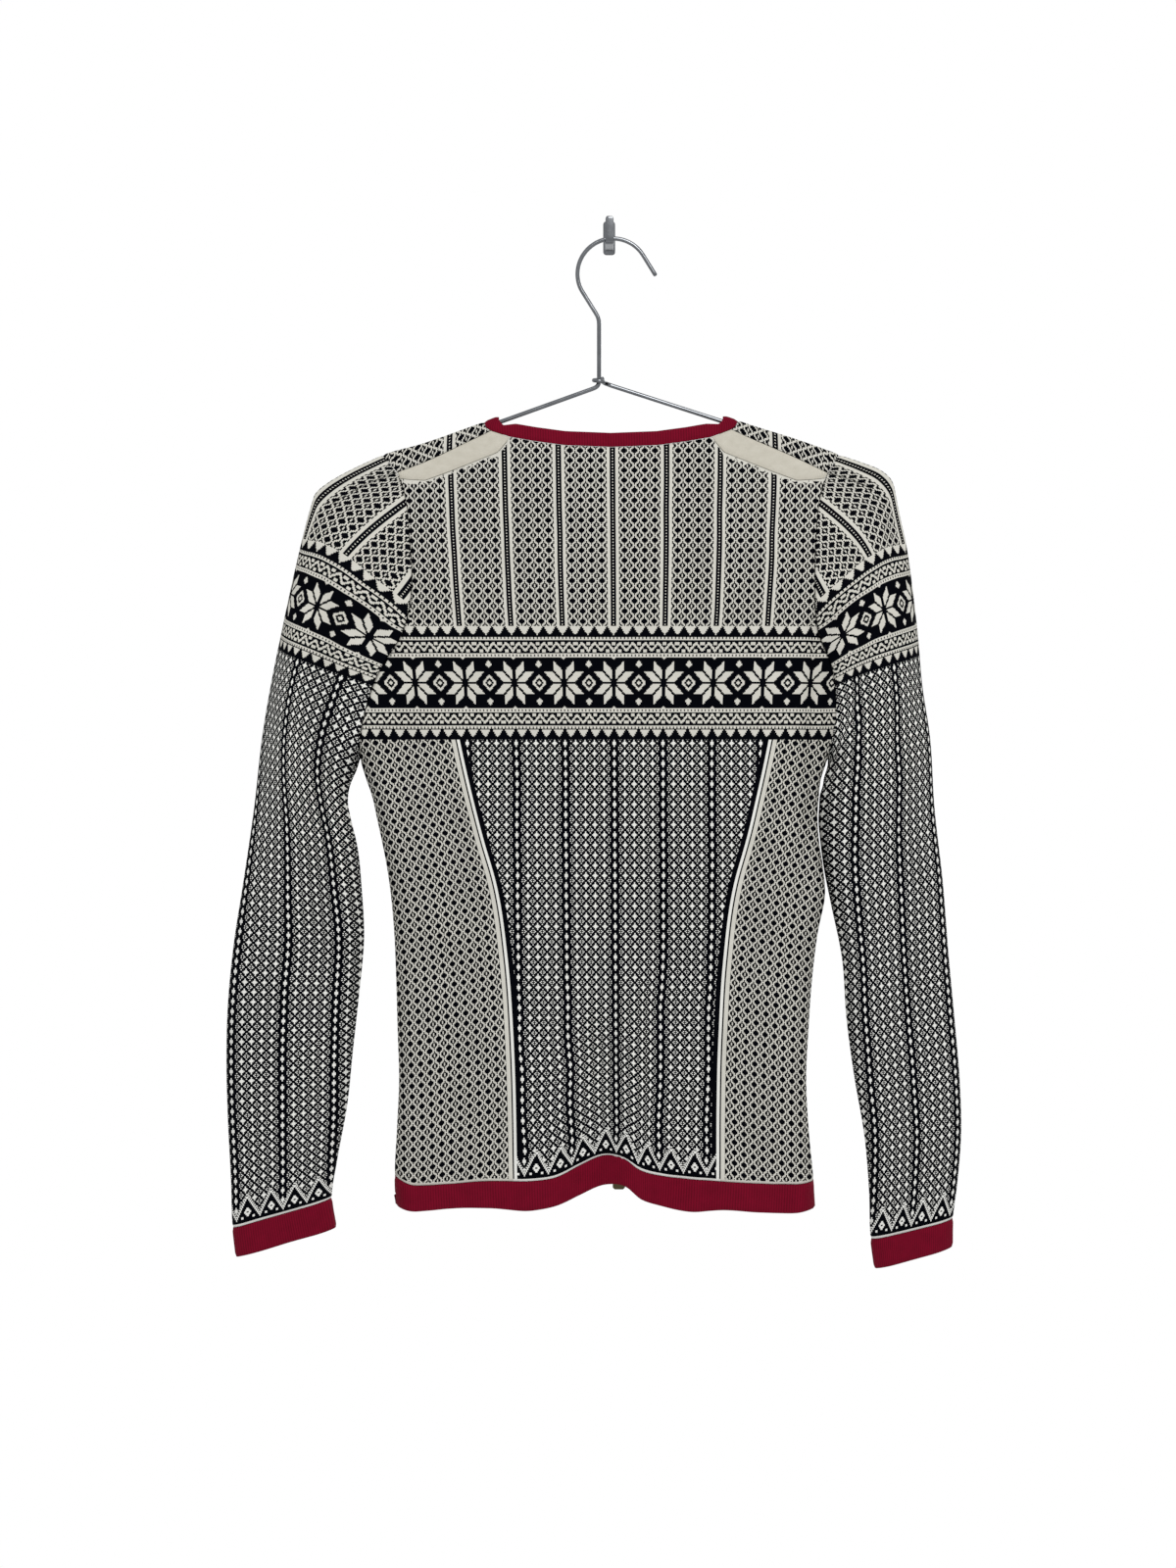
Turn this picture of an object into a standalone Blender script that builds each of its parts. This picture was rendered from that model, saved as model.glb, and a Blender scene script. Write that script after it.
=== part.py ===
"""Zip-up knitted sweater hanging on a wire hanger from a small wall hook.

Blender works in metres; every size below is in millimetres and is scaled where a mesh is made.
+Z is up, +Y runs into the wall and +X is to the right of someone who faces the sweater's back.
The origin is on the back face of the wall plate. The sweater's own centre line is at GARMENT_X.

The sweater hangs nearly flat. Its back and front are two sheets either side of the hanger's
plane, and a point of a sheet is given by its place (x, z) in that plane and by a side: -1 for
the back, which faces -Y, and +1 for the front. The distance from the plane to a sheet follows
one rule for all panels, so neighbours meet along their seams.
"""

import math

import bmesh
import bpy
import numpy as np

MM = 0.001

# Placing, millimetres
GARMENT_X = 1.0
HANGER_PLANE_Y = -30.0

# Cloth
WALL = 1.4
SEAM_GAP = 0.35
HALF_SIDE_GAP = 0.17
FOLD_RADIUS = 4.0
SIDE_ROUNDING = 16.0
SHOULDER_SPREAD = 150.0
BACK, FRONT = -1, 1
LEFT, RIGHT = -1, 1

# Shoulder line: distance from the centre line, height on the left and on the right
SHOULDER_ROWS = (
    (0.0, -128.0, -128.0),
    (40.0, -129.5, -129.5),
    (66.0, -132.0, -132.0),
    (82.0, -135.8, -135.3),
    (92.0, -139.6, -138.6),
    (104.0, -143.9, -142.6),
    (137.0, -155.5, -153.0),
    (166.4, -163.9, -163.5),
    (195.0, -177.5, -174.0),
    (215.0, -190.0, -188.0),
    (240.0, -207.0, -206.0),
    (320.0, -262.0, -262.0),
)

# Side edges of the trunk: height, distance from the centre line on the left and on the right
TRUNK_EDGE_ROWS = (
    (-740.0, 157.0, 149.5),
    (-712.0, 156.5, 149.5),
    (-690.0, 158.0, 148.0),
    (-654.0, 156.5, 144.6),
    (-618.0, 155.0, 142.9),
    (-583.0, 156.0, 144.5),
    (-547.0, 157.0, 147.0),
    (-511.0, 158.5, 151.4),
    (-483.0, 161.0, 156.6),
    (-462.0, 164.0, 154.8),
    (-444.0, 167.5, 152.2),
    (-428.0, 171.0, 151.2),
    (-412.0, 174.5, 152.2),
    (-399.0, 179.0, 153.8),
    (-391.0, 181.5, 156.4),
    (-386.0, 183.0, 158.2),
)

# Armhole seam: height, distance from the centre line on the left and on the right
ARMHOLE_ROWS = (
    (-386.0, 183.0, 158.2),
    (-347.0, 176.5, 161.5),
    (-319.0, 165.5, 158.5),
    (-297.0, 151.5, 151.0),
    (-278.0, 145.8, 148.2),
    (-254.0, 144.2, 147.4),
    (-225.0, 146.0, 148.6),
    (-197.0, 149.0, 151.6),
    (-178.0, 155.2, 157.6),
    (-163.9, 166.4, 166.2),
)
UNDERARM_Z = ARMHOLE_ROWS[0][0]

# Sleeve sections, shoulder to cuff: distance out and height of the outer and the inner edge
LEFT_SLEEVE_ROWS = (
    (166.4, -163.9, 183.0, -386.0),
    (190.0, -174.9, 183.6, -388.2),
    (207.0, -184.6, 184.4, -390.6),
    (216.5, -193.5, 185.2, -393.0),
    (220.5, -207.0, 186.2, -395.6),
    (228.0, -237.0, 188.0, -399.4),
    (234.5, -266.0, 190.0, -404.4),
    (241.0, -297.0, 191.4, -410.6),
    (248.0, -332.0, 191.8, -418.0),
    (254.0, -368.0, 190.0, -428.0),
    (260.0, -420.0, 185.2, -448.0),
    (268.0, -475.0, 181.6, -482.0),
    (275.0, -520.0, 180.0, -515.0),
    (279.4, -565.0, 183.4, -555.0),
    (280.4, -605.0, 188.0, -597.0),
    (279.4, -648.0, 192.6, -640.0),
    (277.2, -692.0, 199.6, -678.0),
    (276.0, -727.0, 203.4, -705.8),
)
RIGHT_SLEEVE_ROWS = (
    (166.2, -163.5, 158.2, -386.0),
    (184.0, -169.6, 158.2, -388.6),
    (198.0, -175.4, 157.9, -391.6),
    (206.6, -186.0, 156.9, -395.0),
    (210.6, -207.0, 155.4, -399.6),
    (215.6, -230.0, 154.6, -405.0),
    (220.0, -261.0, 153.7, -412.0),
    (224.0, -297.0, 152.8, -420.0),
    (227.0, -332.0, 152.7, -430.0),
    (232.4, -368.0, 154.0, -444.0),
    (236.0, -422.0, 157.2, -466.0),
    (242.0, -475.0, 162.0, -492.0),
    (246.4, -530.0, 168.4, -530.0),
    (250.6, -575.0, 171.8, -575.0),
    (254.4, -620.0, 177.6, -618.0),
    (255.4, -660.0, 184.8, -660.0),
    (252.6, -696.0, 188.4, -703.0),
    (249.6, -720.4, 189.4, -735.4),
)
# Lower edge of each cuff, in the columns of the sleeve sections
LEFT_CUFF_ROW = (273.6, -748.6, 200.2, -727.2)
RIGHT_CUFF_ROW = (249.2, -741.0, 192.2, -757.0)
# How much of the armhole's curve each of the first sleeve sections keeps
ARMHOLE_CURVE_KEPT = (1.0, 0.74, 0.5, 0.28, 0.12, 0.04)
# How far each of the first sections has turned to the spacing of the lower sleeve
SPACING_TURNED = (0.0, 0.0, 0.15, 0.4, 0.7, 1.0)
# How far the middle of each section bows away from the trunk, so that it leaves the edge squarely
SECTION_BOW = (0.0, 1.5, 3.5, 6.0, 8.5, 10.5, 12.0, 12.0, 11.0, 9.0, 6.0, 3.0)

# Half depth of the garment: height, trunk back, trunk front, sleeve back, sleeve front
DEPTH_ROWS = (
    (-100.0, 22.0, 14.0, 22.0, 14.0),
    (-386.0, 22.0, 14.0, 22.0, 14.0),
    (-470.0, 22.0, 14.0, 17.0, 13.0),
    (-560.0, 21.0, 14.0, 15.5, 12.5),
    (-650.0, 21.0, 14.5, 14.5, 11.5),
    (-700.0, 22.0, 15.0, 12.0, 10.0),
    (-760.0, 23.0, 15.0, 10.5, 9.0),
)

# Hem: place across, upper and lower edge of the band on the back and on the front
HEM_BACK_ROWS = (
    (-157.9, -688.5, -710.0),
    (-146.0, -693.0, -712.5),
    (-118.0, -693.0, -711.0),
    (-88.0, -690.5, -710.3),
    (-60.0, -690.5, -712.0),
    (-40.0, -688.0, -708.6),
    (-22.0, -679.8, -701.4),
    (-3.0, -672.2, -693.4),
    (10.0, -674.5, -694.0),
    (21.0, -682.0, -702.5),
    (38.0, -687.5, -709.5),
    (58.0, -689.5, -713.0),
    (82.0, -690.5, -711.2),
    (108.0, -692.0, -713.0),
    (128.0, -693.0, -714.0),
    (147.9, -692.0, -711.5),
)
HEM_FRONT_ROWS = (
    (-157.9, -688.5, -710.0),
    (-100.0, -691.0, -711.5),
    (-60.0, -689.5, -709.5),
    (-36.0, -687.0, -707.0),
    (-16.0, -679.0, -699.0),
    (0.0, -673.5, -693.5),
    (12.0, -673.5, -693.5),
    (28.0, -681.0, -701.5),
    (46.0, -690.0, -712.0),
    (68.0, -694.0, -718.0),
    (92.0, -692.5, -714.5),
    (120.0, -692.0, -713.0),
    (147.9, -692.0, -711.5),
)

# Top edge of the back panel: place across and height, mirrored about the centre line
BACK_TOP_ROWS = (
    (0.0, -161.3),
    (34.0, -160.6),
    (57.0, -158.4),
    (73.0, -155.0),
    (82.0, -162.8),
    (118.0, -177.2),
    (135.0, -183.4),
    (148.0, -182.6),
    (160.0, -181.0),
)
INSET_NECK_X = 73.0
# Shoulder seam on the back, measured down from the shoulder fold at the armhole and the neck
SEAM_DROP_AT_ARMHOLE = 16.0
SEAM_DROP_AT_NECK = 8.0
INSET_TIP = 1.6

# Neck edge where it crosses the shoulder fold: drop below the fold and place across
NECK_FOLD_ROWS = ((0.0, 92.6), (1.2, 92.6), (4.0, 91.6), (9.0, 87.0))
# Neckline of the front: place across and height, from the zip to the shoulder
FRONT_NECK_ROWS = (
    (5.2, -212.0),
    (28.0, -209.4),
    (49.0, -199.6),
    (66.0, -184.0),
    (78.5, -167.6),
    (86.0, -155.6),
    (90.0, -148.6),
)
BAND_WIDTH = 10.6

# Zip
ZIP_X_TOP, ZIP_X_BOTTOM = 0.0, 6.0
ZIP_TOP_Z, ZIP_BOTTOM_Z = -203.5, -692.0
PANEL_TO_ZIP = 5.2
TAPE_INNER, TAPE_OUTER = 3.1, 13.0
TAPE_THICKNESS = 0.7
TAPE_BEHIND = WALL + 0.5
CHAIN_HALF_WIDTH, CHAIN_THICKNESS = 2.6, 2.4
SLIDER_LENGTH, SLIDER_HALF_WIDTH = 11.0, 4.3
SLIDER_PLATE = 1.5
SLIDER_TOP_Z = -205.0
PULL_LENGTH, PULL_HALF_WIDTH, PULL_THICKNESS = 24.0, 2.6, 1.2
PULL_AXIS_HEIGHT = 1.25
BOX_SIZE = (9.0, 3.6, 9.0)

# Hanger and wall hook
WIRE_RADIUS = 1.6
WIRE_SIDES = 8
WIRE_BELOW_FOLD = 4.3
HOOK_CENTRE = (2.6, -32.0)
HOOK_RADIUS = 26.0
HOOK_TIP = (33.4, -32.5)
STEM_X = -7.6
STEM_BEND_Z = -64.5
STEM_FOOT_Z = -113.4
WRAP_Z = -111.4
HANGER_END_X = {LEFT: 200.0, RIGHT: 191.5}
HANGER_END_Z, HANGER_END_RADIUS = -194.5, 6.5
PLATE_SIZE = (9.0, 1.5, 25.0)
HOOK_STRIP_WIDTH, HOOK_STRIP = 6.0, 1.8
HOOK_TIP_Z, HOOK_FLOOR_Z = 9.6, -8.6

# Folds that show: side, ends of the crest in the plane, half width, height out of the sheet
FOLD_ROWS = (
    (BACK, -209.0, -280.0, -213.0, -520.0, 9.0, -4.5),
    (BACK, -197.0, -385.0, -194.0, -560.0, 11.0, 2.5),
    (BACK, -176.0, -372.0, -138.0, -322.0, 8.0, 3.5),
    (BACK, -168.0, -395.0, -128.0, -352.0, 9.0, -3.0),
    (BACK, 152.0, -292.0, 146.0, -420.0, 10.0, -8.0),
    (BACK, 172.0, -270.0, 168.0, -450.0, 11.0, 5.0),
    (BACK, 214.0, -330.0, 222.0, -560.0, 10.0, -3.5),
    (BACK, -108.0, -430.0, -112.0, -730.0, 22.0, -3.0),
    (BACK, -12.0, -600.0, -16.0, -735.0, 15.0, -7.0),
    (BACK, 14.0, -560.0, 17.0, -735.0, 10.0, 6.0),
    (BACK, 44.0, -470.0, 40.0, -735.0, 16.0, -3.5),
    (BACK, 96.0, -440.0, 92.0, -735.0, 24.0, 3.5),
    (FRONT, -96.0, -400.0, -88.0, -735.0, 22.0, -3.0),
    (FRONT, -52.0, -520.0, -48.0, -735.0, 16.0, 3.0),
    (FRONT, 62.0, -500.0, 66.0, -735.0, 17.0, 3.5),
    (FRONT, 108.0, -420.0, 104.0, -735.0, 20.0, -3.0),
    (FRONT, -160.0, -384.0, -122.0, -318.0, 9.0, 3.0),
    (FRONT, 150.0, -380.0, 122.0, -318.0, 9.0, 3.0),
    (FRONT, -222.0, -330.0, -226.0, -560.0, 10.0, -3.0),
    (FRONT, 204.0, -330.0, 214.0, -560.0, 10.0, -3.0),
)
FOLD_FADE = 38.0

# Mesh spacing
TRUNK_ROW_Z = (-663.0, -630.0, -592.0, -554.0, -520.0, -492.0, -466.0, -441.0, -416.0, -400.0, -391.0)
ARMHOLE_ROW_Z = (-386.0, -380.0, -366.0, -344.0, -320.0, -296.0, -272.0, -248.0, -224.0, -202.0)
# Place up the zip or along the front neckline that each armhole row of a front runs to
FRONT_INNER_Z = (-352.0, -334.0, -308.0, -278.0, -246.0)
FOLD_DROPS = (9.0, 4.0, 1.2)
LOWER_SPACING = (0.0, 0.03, 0.09, 0.18, 0.28, 0.38, 0.49, 0.6, 0.7, 0.79)
UPPER_SPACING = (0.85, 0.875, 0.92, 0.962, 0.989, 1.0)
BACK_COLUMN_X = (
    (-157.9, -155.8, -149.5, -141.0, -126.0, -108.0, -90.0, -73.0, -56.0, -40.0, -27.0, -14.0)
    + (-2.0, 9.0, 20.0, 32.0, 46.0, 60.0, 73.0, 90.0, 108.0, 124.0, 134.0, 141.0, 146.0, 147.9)
)
FRONT_COLUMN_SHARES = (0.0, 0.014, 0.055, 0.115, 0.2, 0.32, 0.45, 0.58, 0.71, 0.83, 0.93, 1.0)

COLOURS = {
    "knit": (0.33, 0.32, 0.30, 1.0),
    "plain": (0.62, 0.58, 0.50, 1.0),
    "trim": (0.19, 0.006, 0.022, 1.0),
    "tape": (0.02, 0.02, 0.024, 1.0),
    "zip_metal": (0.06, 0.055, 0.05, 1.0),
    "chrome": (0.8, 0.8, 0.8, 1.0),
}


def smooth(knots, values, at):
    """A curve through the knots, with the slope at each knot taken from its neighbours."""
    knots, values = np.asarray(knots, float), np.asarray(values, float)
    if knots[0] > knots[-1]:
        knots, values = knots[::-1], values[::-1]
    slopes = np.gradient(values, knots)
    at = np.clip(np.asarray(at, float), knots[0], knots[-1])
    i = np.clip(np.searchsorted(knots, at) - 1, 0, len(knots) - 2)
    step = knots[i + 1] - knots[i]
    t = (at - knots[i]) / step
    return (
        (2 * t**3 - 3 * t**2 + 1) * values[i]
        + (t**3 - 2 * t**2 + t) * step * slopes[i]
        + (3 * t**2 - 2 * t**3) * values[i + 1]
        + (t**3 - t**2) * step * slopes[i + 1]
    )


def column(rows, index):
    """One column of a table."""
    return np.array([row[index] for row in rows])


def shoulder_z(x):
    """Height of the shoulder fold at a place across the garment."""
    x = np.asarray(x, float)
    out = column(SHOULDER_ROWS, 0)
    left = smooth(out, column(SHOULDER_ROWS, 1), np.abs(x))
    right = smooth(out, column(SHOULDER_ROWS, 2), np.abs(x))
    return np.where(x < 0, left, right)


def shoulder_cosine(x):
    """Cosine of the shoulder line's slope, which turns a drop in height into a distance."""
    slope = (shoulder_z(np.asarray(x) + 4.0) - shoulder_z(np.asarray(x) - 4.0)) / 8.0
    return 1.0 / np.sqrt(1.0 + slope**2)


def drop_below_shoulder(x, z):
    """Distance of a point below the shoulder fold."""
    return (shoulder_z(x) - z) * shoulder_cosine(x)


def below_shoulder(x, drop):
    """Height of the point at this place across that lies this far below the shoulder fold."""
    return shoulder_z(x) - drop / shoulder_cosine(x)


def sleeve_rows(hand):
    """The section table of one sleeve, with its distances signed by the side of the body."""
    rows = LEFT_SLEEVE_ROWS if hand == LEFT else RIGHT_SLEEVE_ROWS
    return np.array([(hand * a, b, hand * c, d) for a, b, c, d in rows])


def cuff_row(hand):
    """The lower edge of one cuff, signed in the same way."""
    a, b, c, d = LEFT_CUFF_ROW if hand == LEFT else RIGHT_CUFF_ROW
    return np.array((hand * a, b, hand * c, d))


def trunk_edge_x(hand, z):
    """Place of the trunk's side edge at a height."""
    return hand * smooth(column(TRUNK_EDGE_ROWS, 0), column(TRUNK_EDGE_ROWS, 1 if hand == LEFT else 2), z)


def armhole_x(hand, z):
    """Place of the armhole seam at a height."""
    return hand * smooth(column(ARMHOLE_ROWS, 0), column(ARMHOLE_ROWS, 1 if hand == LEFT else 2), z)


def edge_line(x_of_z, low, high):
    """A side edge as a line of closely spaced points, from low to high."""
    z = np.linspace(low, high, 90)
    return np.column_stack([x_of_z(z), z])


def sleeve_edge(hand, x_column, z_column, first):
    """One long edge of a sleeve, from the section called first to below the cuff."""
    rows = np.vstack([sleeve_rows(hand)[first:], cuff_row(hand)])
    x, z = rows[:, x_column], rows[:, z_column]
    x, z = np.append(x, 2 * x[-1] - x[-2]), np.append(z, 2 * z[-1] - z[-2])
    return edge_line(lambda at: smooth(z, x, at), z[-1], z[0])


SHOULDER_SECTIONS = 3
TRUNK_EDGES = [
    (edge_line(lambda z: trunk_edge_x(LEFT, z), -740.0, UNDERARM_Z), 1),
    (edge_line(lambda z: trunk_edge_x(RIGHT, z), -740.0, UNDERARM_Z), -1),
]
OUTER_EDGES = {hand: (sleeve_edge(hand, 0, 1, SHOULDER_SECTIONS), -hand) for hand in (LEFT, RIGHT)}
INNER_EDGES = {hand: (sleeve_edge(hand, 2, 3, 0), hand) for hand in (LEFT, RIGHT)}
REGION_EDGES = {
    "trunk": TRUNK_EDGES + [OUTER_EDGES[LEFT], OUTER_EDGES[RIGHT]],
    LEFT: [OUTER_EDGES[LEFT], INNER_EDGES[LEFT]],
    RIGHT: [OUTER_EDGES[RIGHT], INNER_EDGES[RIGHT]],
}


def distance_inside(x, z, edge):
    """Distance from an edge line, positive on its inward side and above its upper end."""
    line, inward = edge
    p = np.stack([np.ravel(x), np.ravel(z)], 1)[:, None, :]
    a, b = line[None, :-1], line[None, 1:]
    along = np.clip(((p - a) * (b - a)).sum(2) / ((b - a) ** 2).sum(2), 0, 1)
    distance = np.sqrt((((p - a) - along[..., None] * (b - a)) ** 2).sum(2)).min(1)
    side = np.sign((np.ravel(x) - np.interp(np.ravel(z), line[:, 1], line[:, 0])) * inward)
    above = np.ravel(z) > line[-1, 1]
    return (distance * np.where(above, 1.0, side)).reshape(np.shape(x))


def side_rounding(x, z, region):
    """Squared share of the full depth, which falls to 0 at the garment's side edges."""
    nearest = np.minimum.reduce([distance_inside(x, z, edge) for edge in REGION_EDGES[region]])
    return 1.0 - (1.0 - np.minimum(nearest / SIDE_ROUNDING, 1.0)) ** 2


def full_depth(z, region, side):
    """Half depth of the garment away from its edges."""
    index = 1 + (side == FRONT) + 2 * (region != "trunk")
    return np.interp(z, column(DEPTH_ROWS, 0)[::-1], column(DEPTH_ROWS, index)[::-1])


def depth_squared(x, z, region, side):
    """Square of the distance from the hanger's plane to a sheet, without its folds."""
    drop = drop_below_shoulder(x, z)
    spread = np.sin(np.clip((drop - FOLD_RADIUS) / SHOULDER_SPREAD, 0, 1) * math.pi / 2)
    tent = FOLD_RADIUS + (full_depth(z, region, side) - FOLD_RADIUS) * spread
    fold = FOLD_RADIUS**2 - (FOLD_RADIUS - drop) ** 2
    return side_rounding(x, z, region) * np.where(drop < FOLD_RADIUS, fold, tent**2)


def fold_height(x, z, region, side):
    """Sum of the soft ridges and troughs of a sheet, each a bell across and faded at its ends."""
    total = np.zeros(np.shape(x))
    for fold_side, x0, z0, x1, z1, half_width, height in FOLD_ROWS:
        if fold_side != side:
            continue
        length = math.hypot(x1 - x0, z1 - z0)
        ux, uz = (x1 - x0) / length, (z1 - z0) / length
        along = (x - x0) * ux + (z - z0) * uz
        across = (x - x0) * uz - (z - z0) * ux
        beyond = np.maximum(np.maximum(-along, along - length), 0)
        ends = np.exp(-((beyond / FOLD_FADE) ** 2)) * np.clip(along / FOLD_FADE + 1, 0, 1)
        total += height * np.exp(-((across / half_width) ** 2)) * ends
    edge = np.clip(side_rounding(x, z, region), 0, 1)
    return total * edge * np.clip(drop_below_shoulder(x, z) / 60.0 - 0.3, 0, 1)


def sheet_point(x, z, region, side, least=0.0):
    """Points on the outside of a sheet and the unit normals that point out of the garment."""
    x, z = np.asarray(x, float), np.asarray(z, float)
    depth = np.maximum(np.sqrt(np.maximum(depth_squared(x, z, region, side), 0)), least)
    fold = fold_height(x, z, region, side)
    h = 0.05
    slope = []
    for dx, dz in ((h, 0), (0, h)):
        square = depth_squared(x + dx, z + dz, region, side) - depth_squared(x - dx, z - dz, region, side)
        wave = fold_height(x + dx, z + dz, region, side) - fold_height(x - dx, z - dz, region, side)
        slope.append((square + 2 * depth * wave) / (2 * h))
    normal = np.stack([-slope[0], side * 2 * depth, -slope[1]], -1)
    normal[..., 1] = np.where(depth <= least + 1e-9, 0, normal[..., 1])
    normal /= np.linalg.norm(normal, axis=-1, keepdims=True)
    y = HANGER_PLANE_Y + side * (depth + fold)
    return np.stack([x + GARMENT_X, y, z], -1), normal


def sheet_points(x, z, region, side, least=0.0):
    """sheet_point for a grid whose rows or columns may lie on different sides."""
    side = np.broadcast_to(side, np.shape(x))
    back, back_normal = sheet_point(x, z, region, BACK, least)
    front, front_normal = sheet_point(x, z, region, FRONT, least)
    chosen = (side == FRONT)[..., None]
    return np.where(chosen, front, back), np.where(chosen, front_normal, back_normal)


def patch(left, right, bottom, top, u, v):
    """A grid that runs straight across each row and bends to follow the bottom and top lines."""
    u, v = np.asarray(u)[None, :, None], np.asarray(v)[:, None, None]
    across = left[:, None] * (1 - u) + right[:, None] * u
    low = bottom[None] - (bottom[None, :1] * (1 - u) + bottom[None, -1:] * u)
    high = top[None] - (top[None, :1] * (1 - u) + top[None, -1:] * u)
    return across + (1 - v) * low + v * high


def material(name):
    """A plain material of one of the named colours."""
    found = bpy.data.materials.get(name)
    if found:
        return found
    made = bpy.data.materials.new(name)
    made.use_nodes = True
    shader = made.node_tree.nodes["Principled BSDF"]
    shader.inputs["Base Color"].default_value = COLOURS[name]
    shader.inputs["Roughness"].default_value = 0.2 if name == "chrome" else 0.8
    shader.inputs["Metallic"].default_value = 1.0 if name in ("chrome", "zip_metal") else 0.0
    return made


def add_object(name, points, faces, finish, location=(0, 0, 0)):
    """A mesh object from points in millimetres, with its faces turned to point outwards."""
    mesh = bpy.data.meshes.new(name)
    mesh.from_pydata([tuple(p) for p in np.asarray(points, float) * MM], [], [tuple(f) for f in faces])
    shape = bmesh.new()
    shape.from_mesh(mesh)
    bmesh.ops.triangulate(shape, faces=shape.faces[:])
    bmesh.ops.recalc_face_normals(shape, faces=shape.faces[:])
    if shape.calc_volume(signed=True) < 0:
        bmesh.ops.reverse_faces(shape, faces=shape.faces[:])
    shape.to_mesh(mesh)
    shape.free()
    mesh.shade_smooth()
    mesh.set_sharp_from_angle(angle=math.radians(40))
    mesh.materials.append(material(finish))
    made = bpy.data.objects.new(name, mesh)
    made.location = tuple(c * MM for c in location)
    bpy.context.scene.collection.objects.link(made)
    return made


def grid_faces(rows, columns, ring, start=0):
    """Faces between neighbouring rows of a grid, closed round where ring is true."""
    faces = []
    for r in range(rows - 1):
        for c in range(columns if ring else columns - 1):
            d = (c + 1) % columns
            a, b = start + r * columns, start + (r + 1) * columns
            faces.append((a + c, a + d, b + d, b + c))
    return faces


def add_cloth(name, outer, normals, finish, ring=False, thickness=WALL, lift=0.0):
    """A cloth wall: the outer grid, the same grid moved inwards, and the cut edges between them."""
    rows, columns = outer.shape[:2]
    outside = outer + lift * normals
    inside = outside - thickness * normals
    count = rows * columns
    faces = grid_faces(rows, columns, ring) + [f[::-1] for f in grid_faces(rows, columns, ring, count)]
    for r in (0, rows - 1):
        for c in range(columns if ring else columns - 1):
            a, b = r * columns + c, r * columns + (c + 1) % columns
            faces.append((b, a, a + count, b + count) if r == 0 else (a, b, b + count, a + count))
    if not ring:
        for c in (0, columns - 1):
            for r in range(rows - 1):
                a, b = r * columns + c, (r + 1) * columns + c
                faces.append((a, b, b + count, a + count) if c == 0 else (b, a, a + count, b + count))
    points = np.concatenate([outside.reshape(-1, 3), inside.reshape(-1, 3)])
    return add_object(name, points, faces, finish)


def armhole_z_at_drop(hand, drop):
    """Height on the armhole seam at a distance below the shoulder fold."""
    z = np.linspace(-260.0, ARMHOLE_ROWS[-1][0], 300)
    below = drop_below_shoulder(armhole_x(hand, z), z)
    return float(np.interp(-drop, -below, z))


def hem_z(x, side, edge):
    """Height of the hem band's upper (1) or lower (2) edge."""
    rows = HEM_BACK_ROWS if side == BACK else HEM_FRONT_ROWS
    return smooth(column(rows, 0), column(rows, edge), x)


def back_top_z(x):
    """Height of the back panel's top edge: two insets' lower edges and the neckline."""
    return np.interp(np.abs(x), column(BACK_TOP_ROWS, 0), column(BACK_TOP_ROWS, 1))


def zip_x(z):
    """The zip's place across at a height."""
    return np.interp(z, (ZIP_BOTTOM_Z, ZIP_TOP_Z), (ZIP_X_BOTTOM, ZIP_X_TOP))


def trunk_side(hand, side):
    """Side edge and armhole edge of a trunk panel, from the hem to the shoulder."""
    lower = np.array(TRUNK_ROW_Z)
    upper = np.array(ARMHOLE_ROW_Z)
    hem_x = trunk_edge_x(hand, -690.0)
    points = [(hem_x, float(hem_z(hem_x, side, 1)))]
    points += list(zip(trunk_edge_x(hand, lower), lower))
    points += list(zip(armhole_x(hand, upper), upper))
    return points


def back_grid():
    """Places of the back panel's points, hem to top edge."""
    sides = []
    for hand in (LEFT, RIGHT):
        corner = armhole_z_at_drop(hand, SEAM_DROP_AT_ARMHOLE + INSET_TIP + SEAM_GAP)
        sides.append(np.array(trunk_side(hand, BACK) + [(float(armhole_x(hand, corner)), corner)]))
    left, right = sides
    x = np.array(BACK_COLUMN_X)
    u = (x - x[0]) / (x[-1] - x[0])
    bottom = np.column_stack([x, hem_z(x, BACK, 1)])
    top_x = np.interp(x, (x[0], -INSET_NECK_X, INSET_NECK_X, x[-1]), (left[-1, 0], -INSET_NECK_X, INSET_NECK_X, right[-1, 0]))
    top = np.column_stack([top_x, back_top_z(top_x)])
    top[0], top[-1] = left[-1], right[-1]
    v = (left[:, 1] - left[0, 1]) / (left[-1, 1] - left[0, 1])
    return patch(left, right, bottom, top, u, v)


def neck_fold_x(drop):
    """Place of the neck edge where it crosses the shoulder fold."""
    return np.interp(drop, column(NECK_FOLD_ROWS, 0), column(NECK_FOLD_ROWS, 1))


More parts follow.
